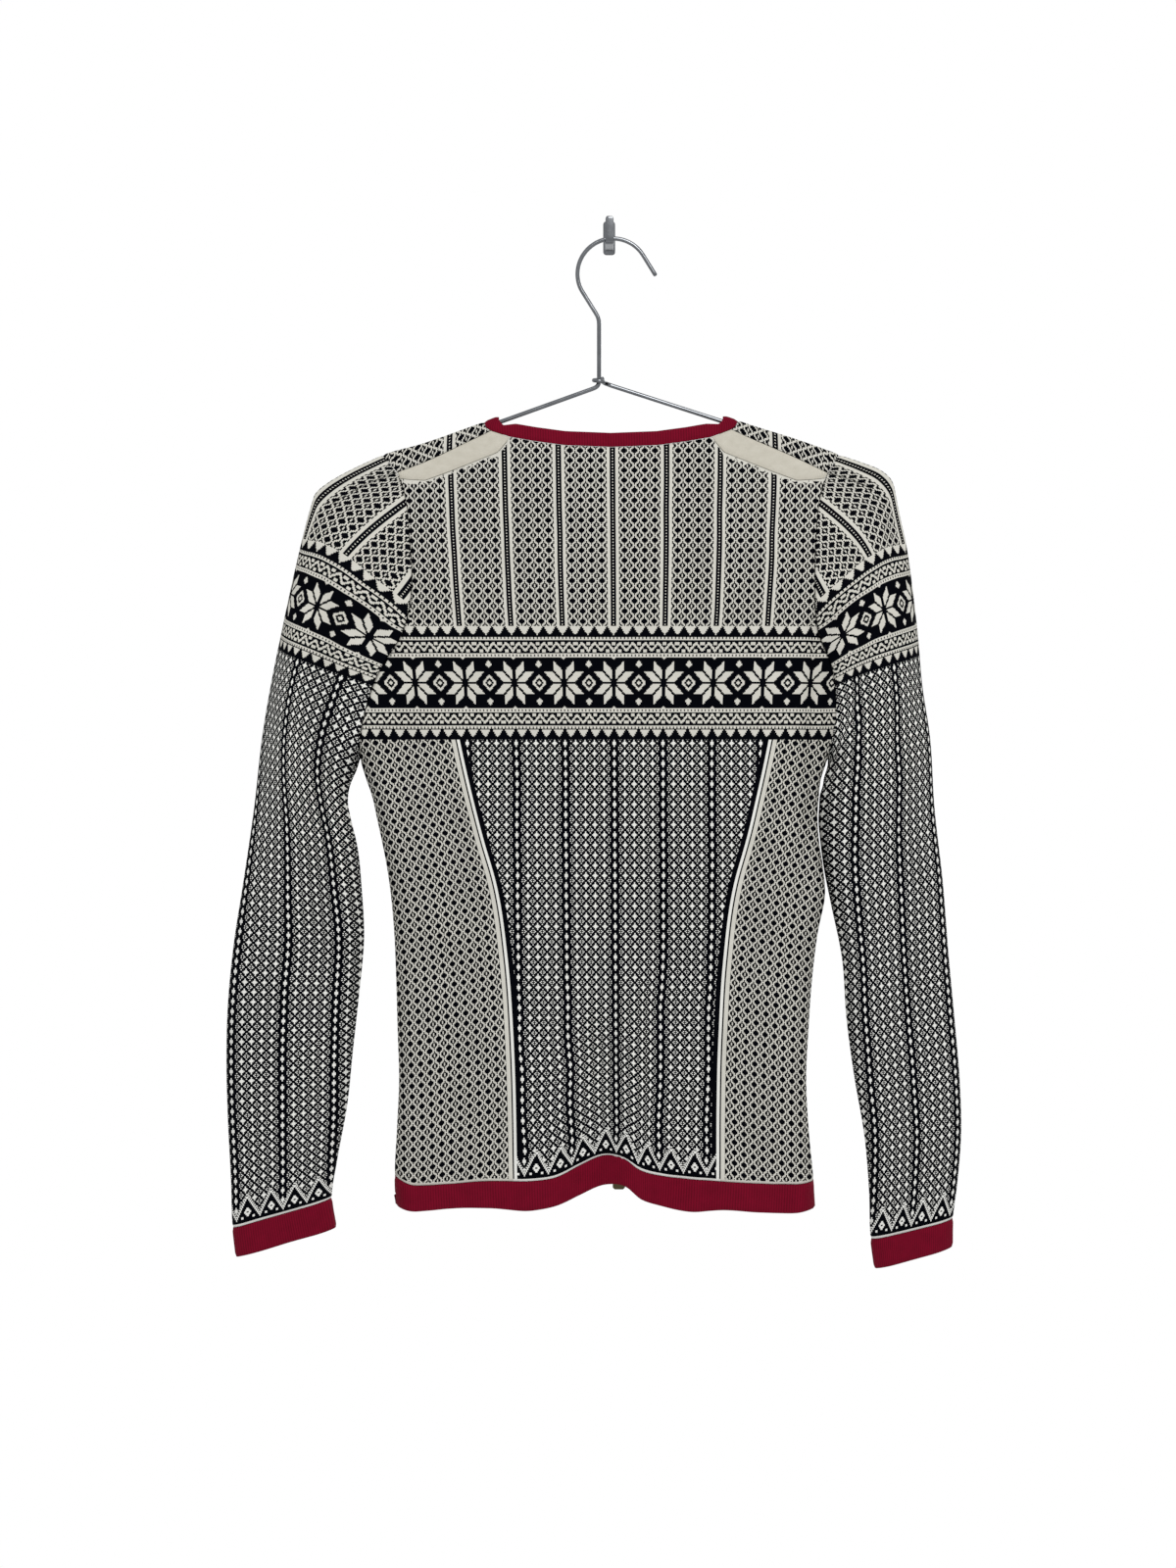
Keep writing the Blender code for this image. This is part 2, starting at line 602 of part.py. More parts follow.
def front_grid(hand):
    """Places and sides of one front panel's points: hem to shoulder, over the fold, to the seam."""
    edge = PANEL_TO_ZIP * hand
    outer = trunk_side(hand, FRONT)
    for drop in (SEAM_DROP_AT_ARMHOLE, FOLD_DROPS[0], FOLD_DROPS[1]):
        z = armhole_z_at_drop(hand, drop)
        outer.append((float(armhole_x(hand, z)), z))
    outer = np.array(outer)
    zip_z = [float(hem_z(ZIP_X_BOTTOM + edge, FRONT, 1))]
    share = (np.array(TRUNK_ROW_Z) - zip_z[0]) / (UNDERARM_Z - zip_z[0])
    zip_z += list(zip_z[0] + share * (FRONT_INNER_Z[0] - zip_z[0])) + list(FRONT_INNER_Z)
    inner = [(float(zip_x(z)) + edge, z) for z in zip_z]
    inner += [(hand * x, z) for x, z in FRONT_NECK_ROWS]
    top_drop = FOLD_DROPS[1]
    neck_x = hand * float(neck_fold_x(top_drop))
    inner.append((neck_x, float(below_shoulder(neck_x, top_drop))))
    inner = np.array(inner)
    u = np.array(FRONT_COLUMN_SHARES)
    bottom_x = outer[0, 0] + u * (inner[0, 0] - outer[0, 0])
    bottom = np.column_stack([bottom_x, hem_z(bottom_x, FRONT, 1)])
    top_x = outer[-1, 0] + u * (inner[-1, 0] - outer[-1, 0])
    top = np.column_stack([top_x, below_shoulder(top_x, top_drop)])
    v = (outer[:, 1] - outer[0, 1]) / (outer[-1, 1] - outer[0, 1])
    lower = patch(outer, inner, bottom, top, u, v)
    over, sides = [], [FRONT] * len(lower)
    for drop, side in ((FOLD_DROPS[2], FRONT), (0.0, BACK), *[(d, BACK) for d in FOLD_DROPS[::-1]], (None, BACK)):
        arm_drop = SEAM_DROP_AT_ARMHOLE if drop is None else drop
        neck_drop = SEAM_DROP_AT_NECK if drop is None else min(drop, 0.75 * SEAM_DROP_AT_NECK)
        arm_x = float(armhole_x(hand, armhole_z_at_drop(hand, arm_drop)))
        x = arm_x + u * (hand * float(neck_fold_x(neck_drop)) - arm_x)
        over.append(np.column_stack([x, below_shoulder(x, arm_drop + u * (neck_drop - arm_drop))]))
        sides.append(side)
    return np.concatenate([lower, np.array(over)]), np.array(sides)[:, None]


def add_back():
    """The back panel. Returns its places and outer points."""
    grid = back_grid()
    points, normals = sheet_points(grid[..., 0], grid[..., 1], "trunk", BACK, HALF_SIDE_GAP)
    add_cloth("back", points, normals, "knit")
    return grid


def add_fronts():
    """The two front panels, which run over the shoulder to the seam on the back."""
    grids = {}
    for hand, name in ((LEFT, "front_left"), (RIGHT, "front_right")):
        grid, sides = front_grid(hand)
        least = np.where(np.arange(len(grid)) <= len(TRUNK_ROW_Z) + 1, HALF_SIDE_GAP, 0.0)[:, None]
        points, normals = sheet_points(grid[..., 0], grid[..., 1], "trunk", sides, least)
        add_cloth(name, points, normals, "knit")
        grids[hand] = (grid, sides)
    return grids


def line_gap(line, towards):
    """A line of places moved by the seam gap towards another line with as many points."""
    away = towards - line
    return line + SEAM_GAP * away / np.linalg.norm(away, axis=-1, keepdims=True)


def add_insets(back, fronts):
    """The plain wedge between each front's shoulder seam and the back panel."""
    for hand, name in ((LEFT, "shoulder_inset_left"), (RIGHT, "shoulder_inset_right")):
        top = back[-1]
        keep = np.abs(top[:, 0]) >= INSET_NECK_X - 0.01
        lower = top[keep & (top[:, 0] * hand > 0)]
        lower = lower[np.argsort(-np.abs(lower[:, 0]))]
        seam = fronts[hand][0][-1]
        share = np.linspace(0, 1, len(lower)) if len(lower) < 2 else None
        run = np.concatenate([[0], np.cumsum(np.linalg.norm(np.diff(lower, axis=0), axis=1))])
        share = run / run[-1]
        seam_run = np.concatenate([[0], np.cumsum(np.linalg.norm(np.diff(seam, axis=0), axis=1))])
        upper = np.column_stack([np.interp(share, seam_run / seam_run[-1], seam[:, i]) for i in (0, 1)])
        grid = np.stack([line_gap(lower, upper), (lower + upper) / 2, line_gap(upper, lower)])
        points, normals = sheet_points(grid[..., 0], grid[..., 1], "trunk", BACK)
        add_cloth(name, points, normals, "plain")


def ring_places(hand):
    """The armhole ring: place and side of each point, and its share of the way from the
    underarm to the shoulder. It runs up the back, over the shoulder and down the front."""
    drops = [SEAM_DROP_AT_ARMHOLE + INSET_TIP + SEAM_GAP, SEAM_DROP_AT_ARMHOLE, *FOLD_DROPS, 0.0]
    up = list(ARMHOLE_ROW_Z) + [armhole_z_at_drop(hand, d) for d in drops]
    front_drops = [*FOLD_DROPS[::-1], SEAM_DROP_AT_ARMHOLE]
    down = [armhole_z_at_drop(hand, d) for d in front_drops] + list(ARMHOLE_ROW_Z[:0:-1])
    z = np.array(up + down)
    side = np.array([BACK] * len(up) + [FRONT] * len(down))
    low = list(LOWER_SPACING + UPPER_SPACING)
    back_down = [s for s in low[::-1] if s not in (1.0, UPPER_SPACING[0])][: len(down)]
    return np.column_stack([armhole_x(hand, z), z]), side, np.array(low + back_down)


def sleeve_grid(hand, rows):
    """Places of a sleeve's points, from the armhole down through the section rows."""
    ring, side, lower_share = ring_places(hand)
    inner, outer = rows[0, 2:], rows[0, :2]
    axis = outer - inner
    upper_share = ((ring - inner) @ axis) / (axis @ axis)
    curve = ring - (inner + upper_share[:, None] * axis)
    grid = []
    for i, (outer_x, outer_z, inner_x, inner_z) in enumerate(rows):
        turned = SPACING_TURNED[i] if i < len(SPACING_TURNED) else 1.0
        kept = ARMHOLE_CURVE_KEPT[i] if i < len(ARMHOLE_CURVE_KEPT) else 0.0
        bow = SECTION_BOW[i] if i < len(SECTION_BOW) else 0.0
        share = upper_share + (lower_share - upper_share) * turned
        o, n = np.array((outer_x, outer_z)), np.array((inner_x, inner_z))
        section = n + share[:, None] * (o - n) + kept * curve
        section[:, 0] += hand * 4 * bow * share * (1 - share)
        grid.append(section)
    grid = np.array(grid)
    grid[0, :, 0] += hand * SEAM_GAP
    return grid, side


def add_sleeves():
    """Each sleeve is one tube with a band of ribless knit below it."""
    for hand, word in ((LEFT, "left"), (RIGHT, "right")):
        rows = sleeve_rows(hand)
        grid, side = sleeve_grid(hand, rows)
        points, normals = sheet_points(grid[..., 0], grid[..., 1], hand, side)
        add_cloth(f"sleeve_{word}", points, normals, "knit", ring=True)
        low = np.vstack([rows, cuff_row(hand)])
        band = sleeve_grid(hand, low)[0][-2:]
        band[0] = line_gap(band[0], band[1])
        middle = (band[0] + band[1]) / 2
        cuff = np.stack([band[0], middle, band[1]])
        points, normals = sheet_points(cuff[..., 0], cuff[..., 1], hand, side)
        add_cloth(f"cuff_{word}", points, normals, "trim", ring=True)


def neck_edge(back, fronts):
    """The whole neck edge from the left of the zip round the back to the right of it."""
    first = len(TRUNK_ROW_Z) + 1 + len(FRONT_INNER_Z)
    halves = []
    for hand in (LEFT, RIGHT):
        grid, sides = fronts[hand]
        halves.append((grid[first:, -1], sides[first:, 0]))
    top = back[-1]
    middle = top[np.abs(top[:, 0]) <= INSET_NECK_X + 0.01]
    places = np.concatenate([halves[0][0], middle, halves[1][0][::-1]])
    sides = np.concatenate([halves[0][1], np.full(len(middle), BACK), halves[1][1][::-1]])
    return places, sides


def add_neckband(back, fronts):
    """The neckband: the neck edge moved inwards by its width, square to the edge."""
    places, sides = neck_edge(back, fronts)
    drop = drop_below_shoulder(places[:, 0], places[:, 1])
    hand = np.sign(places[:, 0])
    in_fold = (drop < FOLD_DROPS[1] + 0.01) & (np.abs(places[:, 0]) > 80)
    centre = np.column_stack([np.zeros(len(places)), np.interp(np.abs(places[:, 0]), (0, 60, 95), (-90.0, -118.0, -140.0))])
    away = centre - places
    fall = np.where(sides == FRONT, 1.0, 0.0) * np.clip((np.abs(places[:, 0]) - 15) / 60, 0, 1)
    away[:, 1] = away[:, 1] * (1 - 0.35 * fall)
    away /= np.linalg.norm(away, axis=1, keepdims=True)
    rows = []
    for share in (0.0, 0.5, 1.0):
        moved = places + away * (SEAM_GAP + share * (BAND_WIDTH - SEAM_GAP))
        along = places[:, 0] - hand * (SEAM_GAP + share * (BAND_WIDTH - SEAM_GAP))
        kept = np.column_stack([along, below_shoulder(along, drop)])
        rows.append(np.where(in_fold[:, None], kept, moved))
    grid = np.array(rows)
    points, normals = sheet_points(grid[..., 0], grid[..., 1], "trunk", sides[None, :])
    add_cloth("neckband", points, normals, "trim")


def add_hems(back, fronts):
    """The hem bands below the back and below each front."""
    jobs = [("hem_back", back[0], BACK)]
    jobs += [(f"hem_front_{word}", fronts[hand][0][0], FRONT) for hand, word in ((LEFT, "left"), (RIGHT, "right"))]
    for name, upper, side in jobs:
        edge_x = upper[:, 0].copy()
        for hand in (LEFT, RIGHT):
            at_side = np.abs(edge_x - trunk_edge_x(hand, -690.0)) < 0.6
            edge_x[at_side] = trunk_edge_x(hand, -710.0)
        lower = np.column_stack([edge_x, hem_z(upper[:, 0], side, 2)])
        grid = np.stack([line_gap(upper, lower), (upper + lower) / 2, lower])
        points, normals = sheet_points(grid[..., 0], grid[..., 1], "trunk", side, HALF_SIDE_GAP)
        add_cloth(name, points, normals, "trim")


def zip_line(z):
    """Points and normals of the front sheet along the zip."""
    return sheet_point(zip_x(z), z, "trunk", FRONT)


def add_zip_tapes_and_chain():
    """The two tapes behind the fronts' edges and the closed chain between them."""
    z = np.concatenate([[ZIP_BOTTOM_Z], np.linspace(ZIP_BOTTOM_Z + 22, ZIP_TOP_Z, 16)])
    for hand, word in ((LEFT, "left"), (RIGHT, "right")):
        x = zip_x(z)[:, None] + hand * np.array([TAPE_INNER, TAPE_OUTER])[None]
        points, normals = sheet_point(x, np.repeat(z[:, None], 2, 1), "trunk", FRONT)
        add_cloth(f"zip_tape_{word}", points, normals, "tape", thickness=TAPE_THICKNESS, lift=-TAPE_BEHIND)
    z = z[z < SLIDER_TOP_Z - SLIDER_LENGTH - 1.0]
    z = np.concatenate([z, [SLIDER_TOP_Z - SLIDER_LENGTH - 0.5]])
    z[0] += BOX_SIZE[2] / 2 + 0.4
    x = zip_x(z)[:, None] + np.array([-CHAIN_HALF_WIDTH, CHAIN_HALF_WIDTH])[None]
    points, normals = sheet_point(np.repeat(zip_x(z)[:, None], 2, 1), np.repeat(z[:, None], 2, 1), "trunk", FRONT)
    points[..., 0] = x + GARMENT_X
    lift = -(TAPE_BEHIND + TAPE_THICKNESS / 2 - CHAIN_THICKNESS / 2)
    add_cloth("zip_chain", points, normals, "zip_metal", thickness=CHAIN_THICKNESS, lift=lift)


def prism(profile, low, high, axis):
    """Points and faces of a profile extruded along an axis; the profile lists the other two."""
    count = len(profile)
    points = [np.insert(np.array(p, float), axis, end) for end in (low, high) for p in profile]
    faces = [tuple(range(count)), tuple(range(2 * count - 1, count - 1, -1))]
    faces += [(i, (i + 1) % count, (i + 1) % count + count, i + count) for i in range(count)]
    return np.array(points), faces


def slider_frame():
    """Middle of the slider on the chain's mid plane, and the tilt of the front there."""
    middle_z = SLIDER_TOP_Z - SLIDER_LENGTH / 2
    (low, _), (middle, _), (high, _) = (zip_line(np.array(middle_z + d)) for d in (-6.0, 0.0, 6.0))
    tilt = math.atan2(high[1] - low[1], high[2] - low[2])
    behind = TAPE_BEHIND + TAPE_THICKNESS / 2
    return middle - np.array([0, behind * math.cos(tilt), -behind * math.sin(tilt)]), tilt


def turned(points, tilt):
    """Points leant by the tilt of the front, about the X axis."""
    c, s = math.cos(tilt), math.sin(tilt)
    return points @ np.array([[1, 0, 0], [0, c, -s], [0, s, c]])


def add_slider_and_pull():
    """The slider is an H in section with an arch; the pull hangs from the arch by its window."""
    middle, tilt = slider_frame()
    slot = TAPE_THICKNESS / 2 + 0.4
    wide, web, plate = SLIDER_HALF_WIDTH, CHAIN_HALF_WIDTH, SLIDER_PLATE
    top = slot + plate
    section = [(-wide, slot), (-wide, top), (wide, top), (wide, slot), (web, slot), (web, -slot)]
    section += [(wide, -slot), (wide, -top), (-wide, -top), (-wide, -slot), (-web, -slot), (-web, slot)]
    points, faces = prism(section, -SLIDER_LENGTH / 2, SLIDER_LENGTH / 2, 2)
    body = add_object("zip_slider", turned(points, tilt) + middle, faces, "zip_metal")
    leg, inner, roof = 1.0, 1.3, 2.5
    outer, sunk = inner + leg, 0.4
    arch = [(top - sunk, -outer), (top + roof + leg, -outer), (top + roof + leg, outer), (top - sunk, outer)]
    arch += [(top - sunk, inner), (top + roof, inner), (top + roof, -inner), (top - sunk, -inner)]
    points, faces = prism(arch, -0.8, 0.8, 0)
    bridge = add_object("slider_arch", turned(points, tilt) + middle, faces, "zip_metal")
    bridge.hide_render = True
    bridge.display_type = "WIRE"
    join = body.modifiers.new("arch", "BOOLEAN")
    join.operation = "UNION"
    join.solver = "EXACT"
    join.object = bridge
    axis = turned(np.array([[0, top + PULL_AXIS_HEIGHT, 0]]), tilt)[0] + middle
    half = PULL_THICKNESS / 2
    window_half, window_foot = 1.5, 4.0
    outline = [(-PULL_HALF_WIDTH, half), (PULL_HALF_WIDTH, half), (PULL_HALF_WIDTH, -PULL_LENGTH), (-PULL_HALF_WIDTH, -PULL_LENGTH)]
    window = [(-window_half, -half), (window_half, -half), (window_half, -window_foot), (-window_half, -window_foot)]
    points = np.array([(x, y, z) for y in (-half, half) for x, z in outline + window])
    faces = []
    for i in range(4):
        j = (i + 1) % 4
        faces += [(i, j, j + 4, i + 4), (i + 8, i + 12, j + 12, j + 8)]
        faces += [(i, i + 8, j + 8, j), (i + 4, j + 4, j + 12, i + 12)]
    add_object("zip_pull", turned(points, tilt), faces, "zip_metal", location=axis)


def add_zip_box():
    """The retainer at the foot of the zip, which shows just below the hem."""
    width, depth, height = BOX_SIZE
    centre, _ = zip_line(np.array(ZIP_BOTTOM_Z + height / 2))
    middle_y = centre[1] - TAPE_BEHIND - TAPE_THICKNESS / 2
    x, z = centre[0], ZIP_BOTTOM_Z - 0.4 - height / 2
    corner = 1.4
    half = width / 2 - corner
    profile = [(x - half, z - height / 2), (x + half, z - height / 2), (x + width / 2, z - height / 2 + corner)]
    profile += [(x + width / 2, z + height / 2), (x - width / 2, z + height / 2), (x - width / 2, z - height / 2 + corner)]
    points, faces = prism(profile, middle_y - depth / 2, middle_y + depth / 2, 1)
    add_object("zip_box", points, faces, "zip_metal")


def arc(centre, radius, start, end, count):
    """Points of an arc, with its angles in degrees."""
    angles = np.radians(np.linspace(start, end, count))
    return np.column_stack([centre[0] + radius * np.cos(angles), centre[1] + radius * np.sin(angles)])


def add_wire(name, path, radius, finish):
    """A round wire along a line of points, with a cone-shaped cap on each end."""
    step = np.diff(path, axis=0)
    step /= np.linalg.norm(step, axis=1, keepdims=True)
    tangent = np.concatenate([step[:1], step[:-1] + step[1:], step[-1:]])
    tangent /= np.linalg.norm(tangent, axis=1, keepdims=True)
    across = np.array([0.0, 1.0, 0.0])
    rings = []
    for i, (point, along) in enumerate(zip(path, tangent)):
        across = across - along * (across @ along)
        across /= np.linalg.norm(across)
        stretch = 1.0 / max(0.5, float(along @ step[min(i, len(step) - 1)]))
        upward = np.cross(along, across)
        angles = 2 * math.pi * np.arange(WIRE_SIDES) / WIRE_SIDES
        ring = np.cos(angles)[:, None] * across + np.sin(angles)[:, None] * upward * stretch
        rings.append(point + radius * ring)
    points = np.concatenate([*rings, [path[0] - 0.5 * radius * tangent[0], path[-1] + 0.5 * radius * tangent[-1]]])
    faces = grid_faces(len(path), WIRE_SIDES, True)
    last = (len(path) - 1) * WIRE_SIDES
    for c in range(WIRE_SIDES):
        d = (c + 1) % WIRE_SIDES
        faces += [(d, c, len(points) - 2), (last + c, last + d, len(points) - 1)]
    add_object(name, points, faces, finish)


def wire_under_shoulder(hand, count):
    """The hanger's arm where it runs under the shoulder fold, neck to end."""
    x = hand * np.linspace(84.0, HANGER_END_X[hand] - 6.0, count)
    return np.column_stack([x + GARMENT_X, below_shoulder(x, WIRE_BELOW_FOLD)])


def add_hanger():
    """One wire: hook, stem, left arm, foot bar, right arm, and a turn round the stem."""
    hook = arc(HOOK_CENTRE, HOOK_RADIUS, 36.5, 204.0, 13)
    stem = [(STEM_X - 0.5, STEM_BEND_Z + 1.0), (STEM_X, STEM_BEND_Z - 1.6), (STEM_X, STEM_FOOT_Z + 0.8)]
    stem.append((STEM_X - 1.2, STEM_FOOT_Z - 1.0))
    left_end = arc((GARMENT_X - HANGER_END_X[LEFT], HANGER_END_Z), HANGER_END_RADIUS, 125.0, 270.0, 6)
    right_end = arc((GARMENT_X + HANGER_END_X[RIGHT], HANGER_END_Z), HANGER_END_RADIUS, -90.0, 55.0, 6)
    flat = [HOOK_TIP, *hook, *stem, *wire_under_shoulder(LEFT, 7), *left_end, *right_end]
    flat += list(wire_under_shoulder(RIGHT, 7)[::-1])
    path = [(x, HANGER_PLANE_Y, z) for x, z in flat]
    wrap_radius = 2 * WIRE_RADIUS + 0.5
    path.append((STEM_X + wrap_radius + 5.0, HANGER_PLANE_Y, WRAP_Z - 1.9))
    for turn in np.linspace(0.0, 318.0, 13):
        angle = math.radians(turn)
        x = STEM_X + wrap_radius * math.cos(angle)
        path.append((x, HANGER_PLANE_Y - wrap_radius * math.sin(angle), WRAP_Z + 3.8 * turn / 360.0))
    add_wire("hanger", np.array(path), WIRE_RADIUS, "chrome")


def add_wall_hook():
    """The plate on the wall and the bent strip whose trough carries the hanger."""
    width, thick, height = PLATE_SIZE
    profile = [(-width / 2, -height / 2), (width / 2, -height / 2), (width / 2, height / 2), (-width / 2, height / 2)]
    points, faces = prism(profile, -thick, 0.0, 1)
    add_object("wall_plate", points, faces, "chrome")
    back_y = -thick - 0.3
    tip_y = HANGER_PLANE_Y - WIRE_RADIUS - 0.8
    floor, strip = HOOK_FLOOR_Z, HOOK_STRIP
    profile = [(back_y, height / 2 - 3.0), (back_y, floor - strip), (tip_y - strip, floor - strip)]
    profile += [(tip_y - strip, HOOK_TIP_Z), (tip_y, HOOK_TIP_Z), (tip_y, floor), (back_y - strip, floor)]
    profile.append((back_y - strip, height / 2 - 3.0))
    points, faces = prism(profile, -HOOK_STRIP_WIDTH / 2, HOOK_STRIP_WIDTH / 2, 0)
    hook = add_object("wall_hook", points, faces, "chrome")
    bevel = hook.modifiers.new("edges", "BEVEL")
    bevel.width = 0.4 * MM
    bevel.segments = 1


def main():
    """Clears the scene and builds every piece."""
    for old in list(bpy.data.objects):
        bpy.data.objects.remove(old, do_unlink=True)
    back = add_back()
    fronts = add_fronts()
    add_insets(back, fronts)
    add_sleeves()
    add_neckband(back, fronts)
    add_hems(back, fronts)
    add_zip_tapes_and_chain()
    add_slider_and_pull()
    add_zip_box()
    add_hanger()
    add_wall_hook()


main()
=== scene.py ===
"""Looks of a zip-up knitted sweater that hangs, back to the viewer, on a wire hanger.

Shapes are worked out in millimetres and scaled to metres where a mesh is made. +Z is up, +Y runs
into the wall, and x is measured from the garment's own centre line, which stands at GARMENT_X.

Every cloth piece is a grid of points on one of two sheets, the back (BACK, facing -Y) or the
front (FRONT), which meet at the sides and over the shoulders. The distance of a sheet from the
hanger's plane is one formula for all panels, so neighbours meet along their seams. The knitted
pattern is drawn by the material, stitch by stitch, from cloth coordinates in millimetres that
each piece carries in its UV maps.
"""

import logging
import math
from dataclasses import dataclass
from enum import Enum
from typing import Optional, Sequence, Union

import bpy
import numpy as np
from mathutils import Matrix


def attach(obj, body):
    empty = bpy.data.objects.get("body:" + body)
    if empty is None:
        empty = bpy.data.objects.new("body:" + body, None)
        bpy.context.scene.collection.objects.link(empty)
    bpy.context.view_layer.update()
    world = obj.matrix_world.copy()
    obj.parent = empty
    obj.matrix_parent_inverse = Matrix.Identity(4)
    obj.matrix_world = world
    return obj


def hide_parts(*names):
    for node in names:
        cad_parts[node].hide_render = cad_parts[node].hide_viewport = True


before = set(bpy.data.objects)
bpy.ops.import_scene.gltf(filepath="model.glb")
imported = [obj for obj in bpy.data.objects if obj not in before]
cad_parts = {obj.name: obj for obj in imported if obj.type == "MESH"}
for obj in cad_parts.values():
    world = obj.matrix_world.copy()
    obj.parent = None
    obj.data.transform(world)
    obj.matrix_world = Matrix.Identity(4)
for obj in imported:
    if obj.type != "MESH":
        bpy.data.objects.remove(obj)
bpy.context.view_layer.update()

LOG = logging.getLogger("sweater")
MM = 0.001

# The garment's middle line, the hanger's plane, the cloth's thickness and how far rib stands proud
GARMENT_X, PLANE_Y, WALL, RIB_LIFT = 1.0, -30.0, 1.4, 0.25
# Gaps at a seam and at each half of a side seam, and the radius of the shoulder fold
SEAM_GAP, HALF_SIDE_GAP, FOLD_RADIUS = 0.35, 0.17, 4.0
BACK, FRONT = -1, 1
LEFT, RIGHT = -1, 1
WORDS = {LEFT: "left", RIGHT: "right"}

# Shoulder fold: distance from the centre line, height on the left and on the right
SHOULDER_ROWS = (
    (0, -128, -128), (40, -129.5, -129.5), (66, -132, -132), (82, -135.8, -135.3),
    (92, -139.6, -138.6), (104, -143.9, -142.6), (137, -155.5, -153), (166.4, -163.9, -163.5),
    (195, -177.5, -174), (215, -190, -188), (240, -207, -206), (320, -262, -262),
)
# Side edges of the trunk: height, distance from the centre line on the left and on the right
TRUNK_EDGE_ROWS = (
    (-740, 157, 149.5), (-712, 156.5, 149.5), (-690, 158, 148), (-654, 156.5, 144.6),
    (-618, 155, 142.9), (-583, 156, 144.5), (-547, 157, 147), (-511, 158.5, 151.4),
    (-483, 161, 156.6), (-462, 164, 154.8), (-444, 167.5, 152.2), (-428, 171, 151.2),
    (-412, 174.5, 152.2), (-399, 179, 153.8), (-391, 181.5, 156.4), (-386, 183, 158.2),
)
# Armhole seam: height, distance from the centre line on the left and on the right
ARMHOLE_ROWS = (
    (-386, 183, 158.2), (-347, 176.5, 161.5), (-319, 165.5, 158.5), (-297, 151.5, 151),
    (-278, 145.8, 148.2), (-254, 144.2, 147.4), (-225, 146, 148.6), (-197, 149, 151.6),
    (-178, 155.2, 157.6), (-163.9, 166.4, 166.2),
)
UNDERARM_Z = ARMHOLE_ROWS[0][0]
# Sleeve sections, shoulder to cuff: distance out and height of the outer and the inner edge
SLEEVE_ROWS = {
    LEFT: (
        (166.4, -163.9, 183, -386), (190, -174.9, 183.6, -388.2), (207, -184.6, 184.4, -390.6),
        (216.5, -193.5, 185.2, -393), (220.5, -207, 186.2, -395.6), (228, -237, 188, -399.4),
        (234.5, -266, 190, -404.4), (241, -297, 191.4, -410.6), (248, -332, 191.8, -418),
        (254, -368, 190, -428), (260, -420, 185.2, -448), (268, -475, 181.6, -482),
        (275, -520, 180, -515), (279.4, -565, 183.4, -555), (280.4, -605, 188, -597),
        (279.4, -648, 192.6, -640), (277.2, -692, 199.6, -678), (276, -727, 203.4, -705.8),
    ),
    RIGHT: (
        (166.2, -163.5, 158.2, -386), (184, -169.6, 158.2, -388.6), (198, -175.4, 157.9, -391.6),
        (206.6, -186, 156.9, -395), (210.6, -207, 155.4, -399.6), (215.6, -230, 154.6, -405),
        (220, -261, 152.5, -412), (224, -297, 151.9, -420), (227, -332, 151.4, -430),
        (232.4, -368, 152.5, -444), (236, -422, 155.4, -466), (242, -475, 160.6, -492),
        (246.4, -530, 168.4, -530), (250.6, -575, 171.8, -575), (254.4, -620, 177.6, -618),
        (255.4, -660, 184.8, -660), (252.6, -696, 188.4, -703), (249.6, -720.4, 189.4, -735.4),
    ),
}
CUFF_ROW = {LEFT: (273.6, -748.6, 200.2, -727.2), RIGHT: (249.2, -741, 192.2, -757)}
# How many of the sections start on the shoulder, and the numbers of the cuff's two edges
SHOULDER_SECTIONS, CUFF_TOP, CUFF_FOOT = 3, 17, 18
# How much of the armhole's curve each of the first sleeve sections keeps, how far it has turned
# to the spacing of the lower sleeve, and how far its middle bows away from the trunk
ARMHOLE_CURVE_KEPT = (1, 0.74, 0.5, 0.28, 0.12, 0.04)
SPACING_TURNED = (0, 0, 0.15, 0.4, 0.7, 1)
SECTION_BOW = (0, 1.5, 3.5, 6, 8.5, 10.5, 12, 12, 11, 9, 6, 3)
ARMHOLE_ROW_Z = (-386, -380, -366, -344, -320, -296, -272, -248, -224, -202)
LOWER_SPACING = (0, 0.03, 0.09, 0.18, 0.28, 0.38, 0.49, 0.6, 0.7, 0.79, 0.85, 0.875, 0.92, 0.962, 0.989, 1)
FOLD_DROPS = (9, 4, 1.2)

# Half depth of the garment: height, trunk back, trunk front, sleeve back, sleeve front
DEPTH_ROWS = (
    (-100, 22, 14, 22, 14), (-386, 22, 14, 22, 14), (-470, 22, 14, 17, 13),
    (-560, 21, 14, 15.5, 12.5), (-650, 21, 14.5, 14.5, 11.5), (-700, 22, 15, 12, 10),
    (-760, 23, 15, 10.5, 9),
)
# Hem band: place across, upper and lower edge on the back and on the front
HEM_ROWS = {
    BACK: (
        (-157.9, -688.5, -710), (-146, -693, -712.5), (-118, -693, -711), (-88, -690.5, -710.3),
        (-60, -690.5, -712), (-40, -688, -708.6), (-22, -679.8, -701.4), (-3, -672.2, -693.4),
        (10, -674.5, -694), (21, -682, -702.5), (38, -687.5, -709.5), (58, -689.5, -713),
        (82, -690.5, -711.2), (108, -692, -713), (128, -693, -714), (147.9, -692, -711.5),
    ),
    FRONT: (
        (-157.9, -688.5, -710), (-100, -691, -711.5), (-60, -689.5, -709.5), (-36, -687, -707),
        (-16, -679, -699), (0, -673.5, -693.5), (12, -673.5, -693.5), (28, -681, -701.5),
        (46, -690, -712), (68, -694, -718), (92, -692.5, -714.5), (120, -692, -713),
        (147.9, -692, -711.5),
    ),
}
# Mean height of the hem band's upper edge, and where its lower edge meets the trunk's sides
HEM_LEVEL, HEM_FOOT = -690.0, -710.0
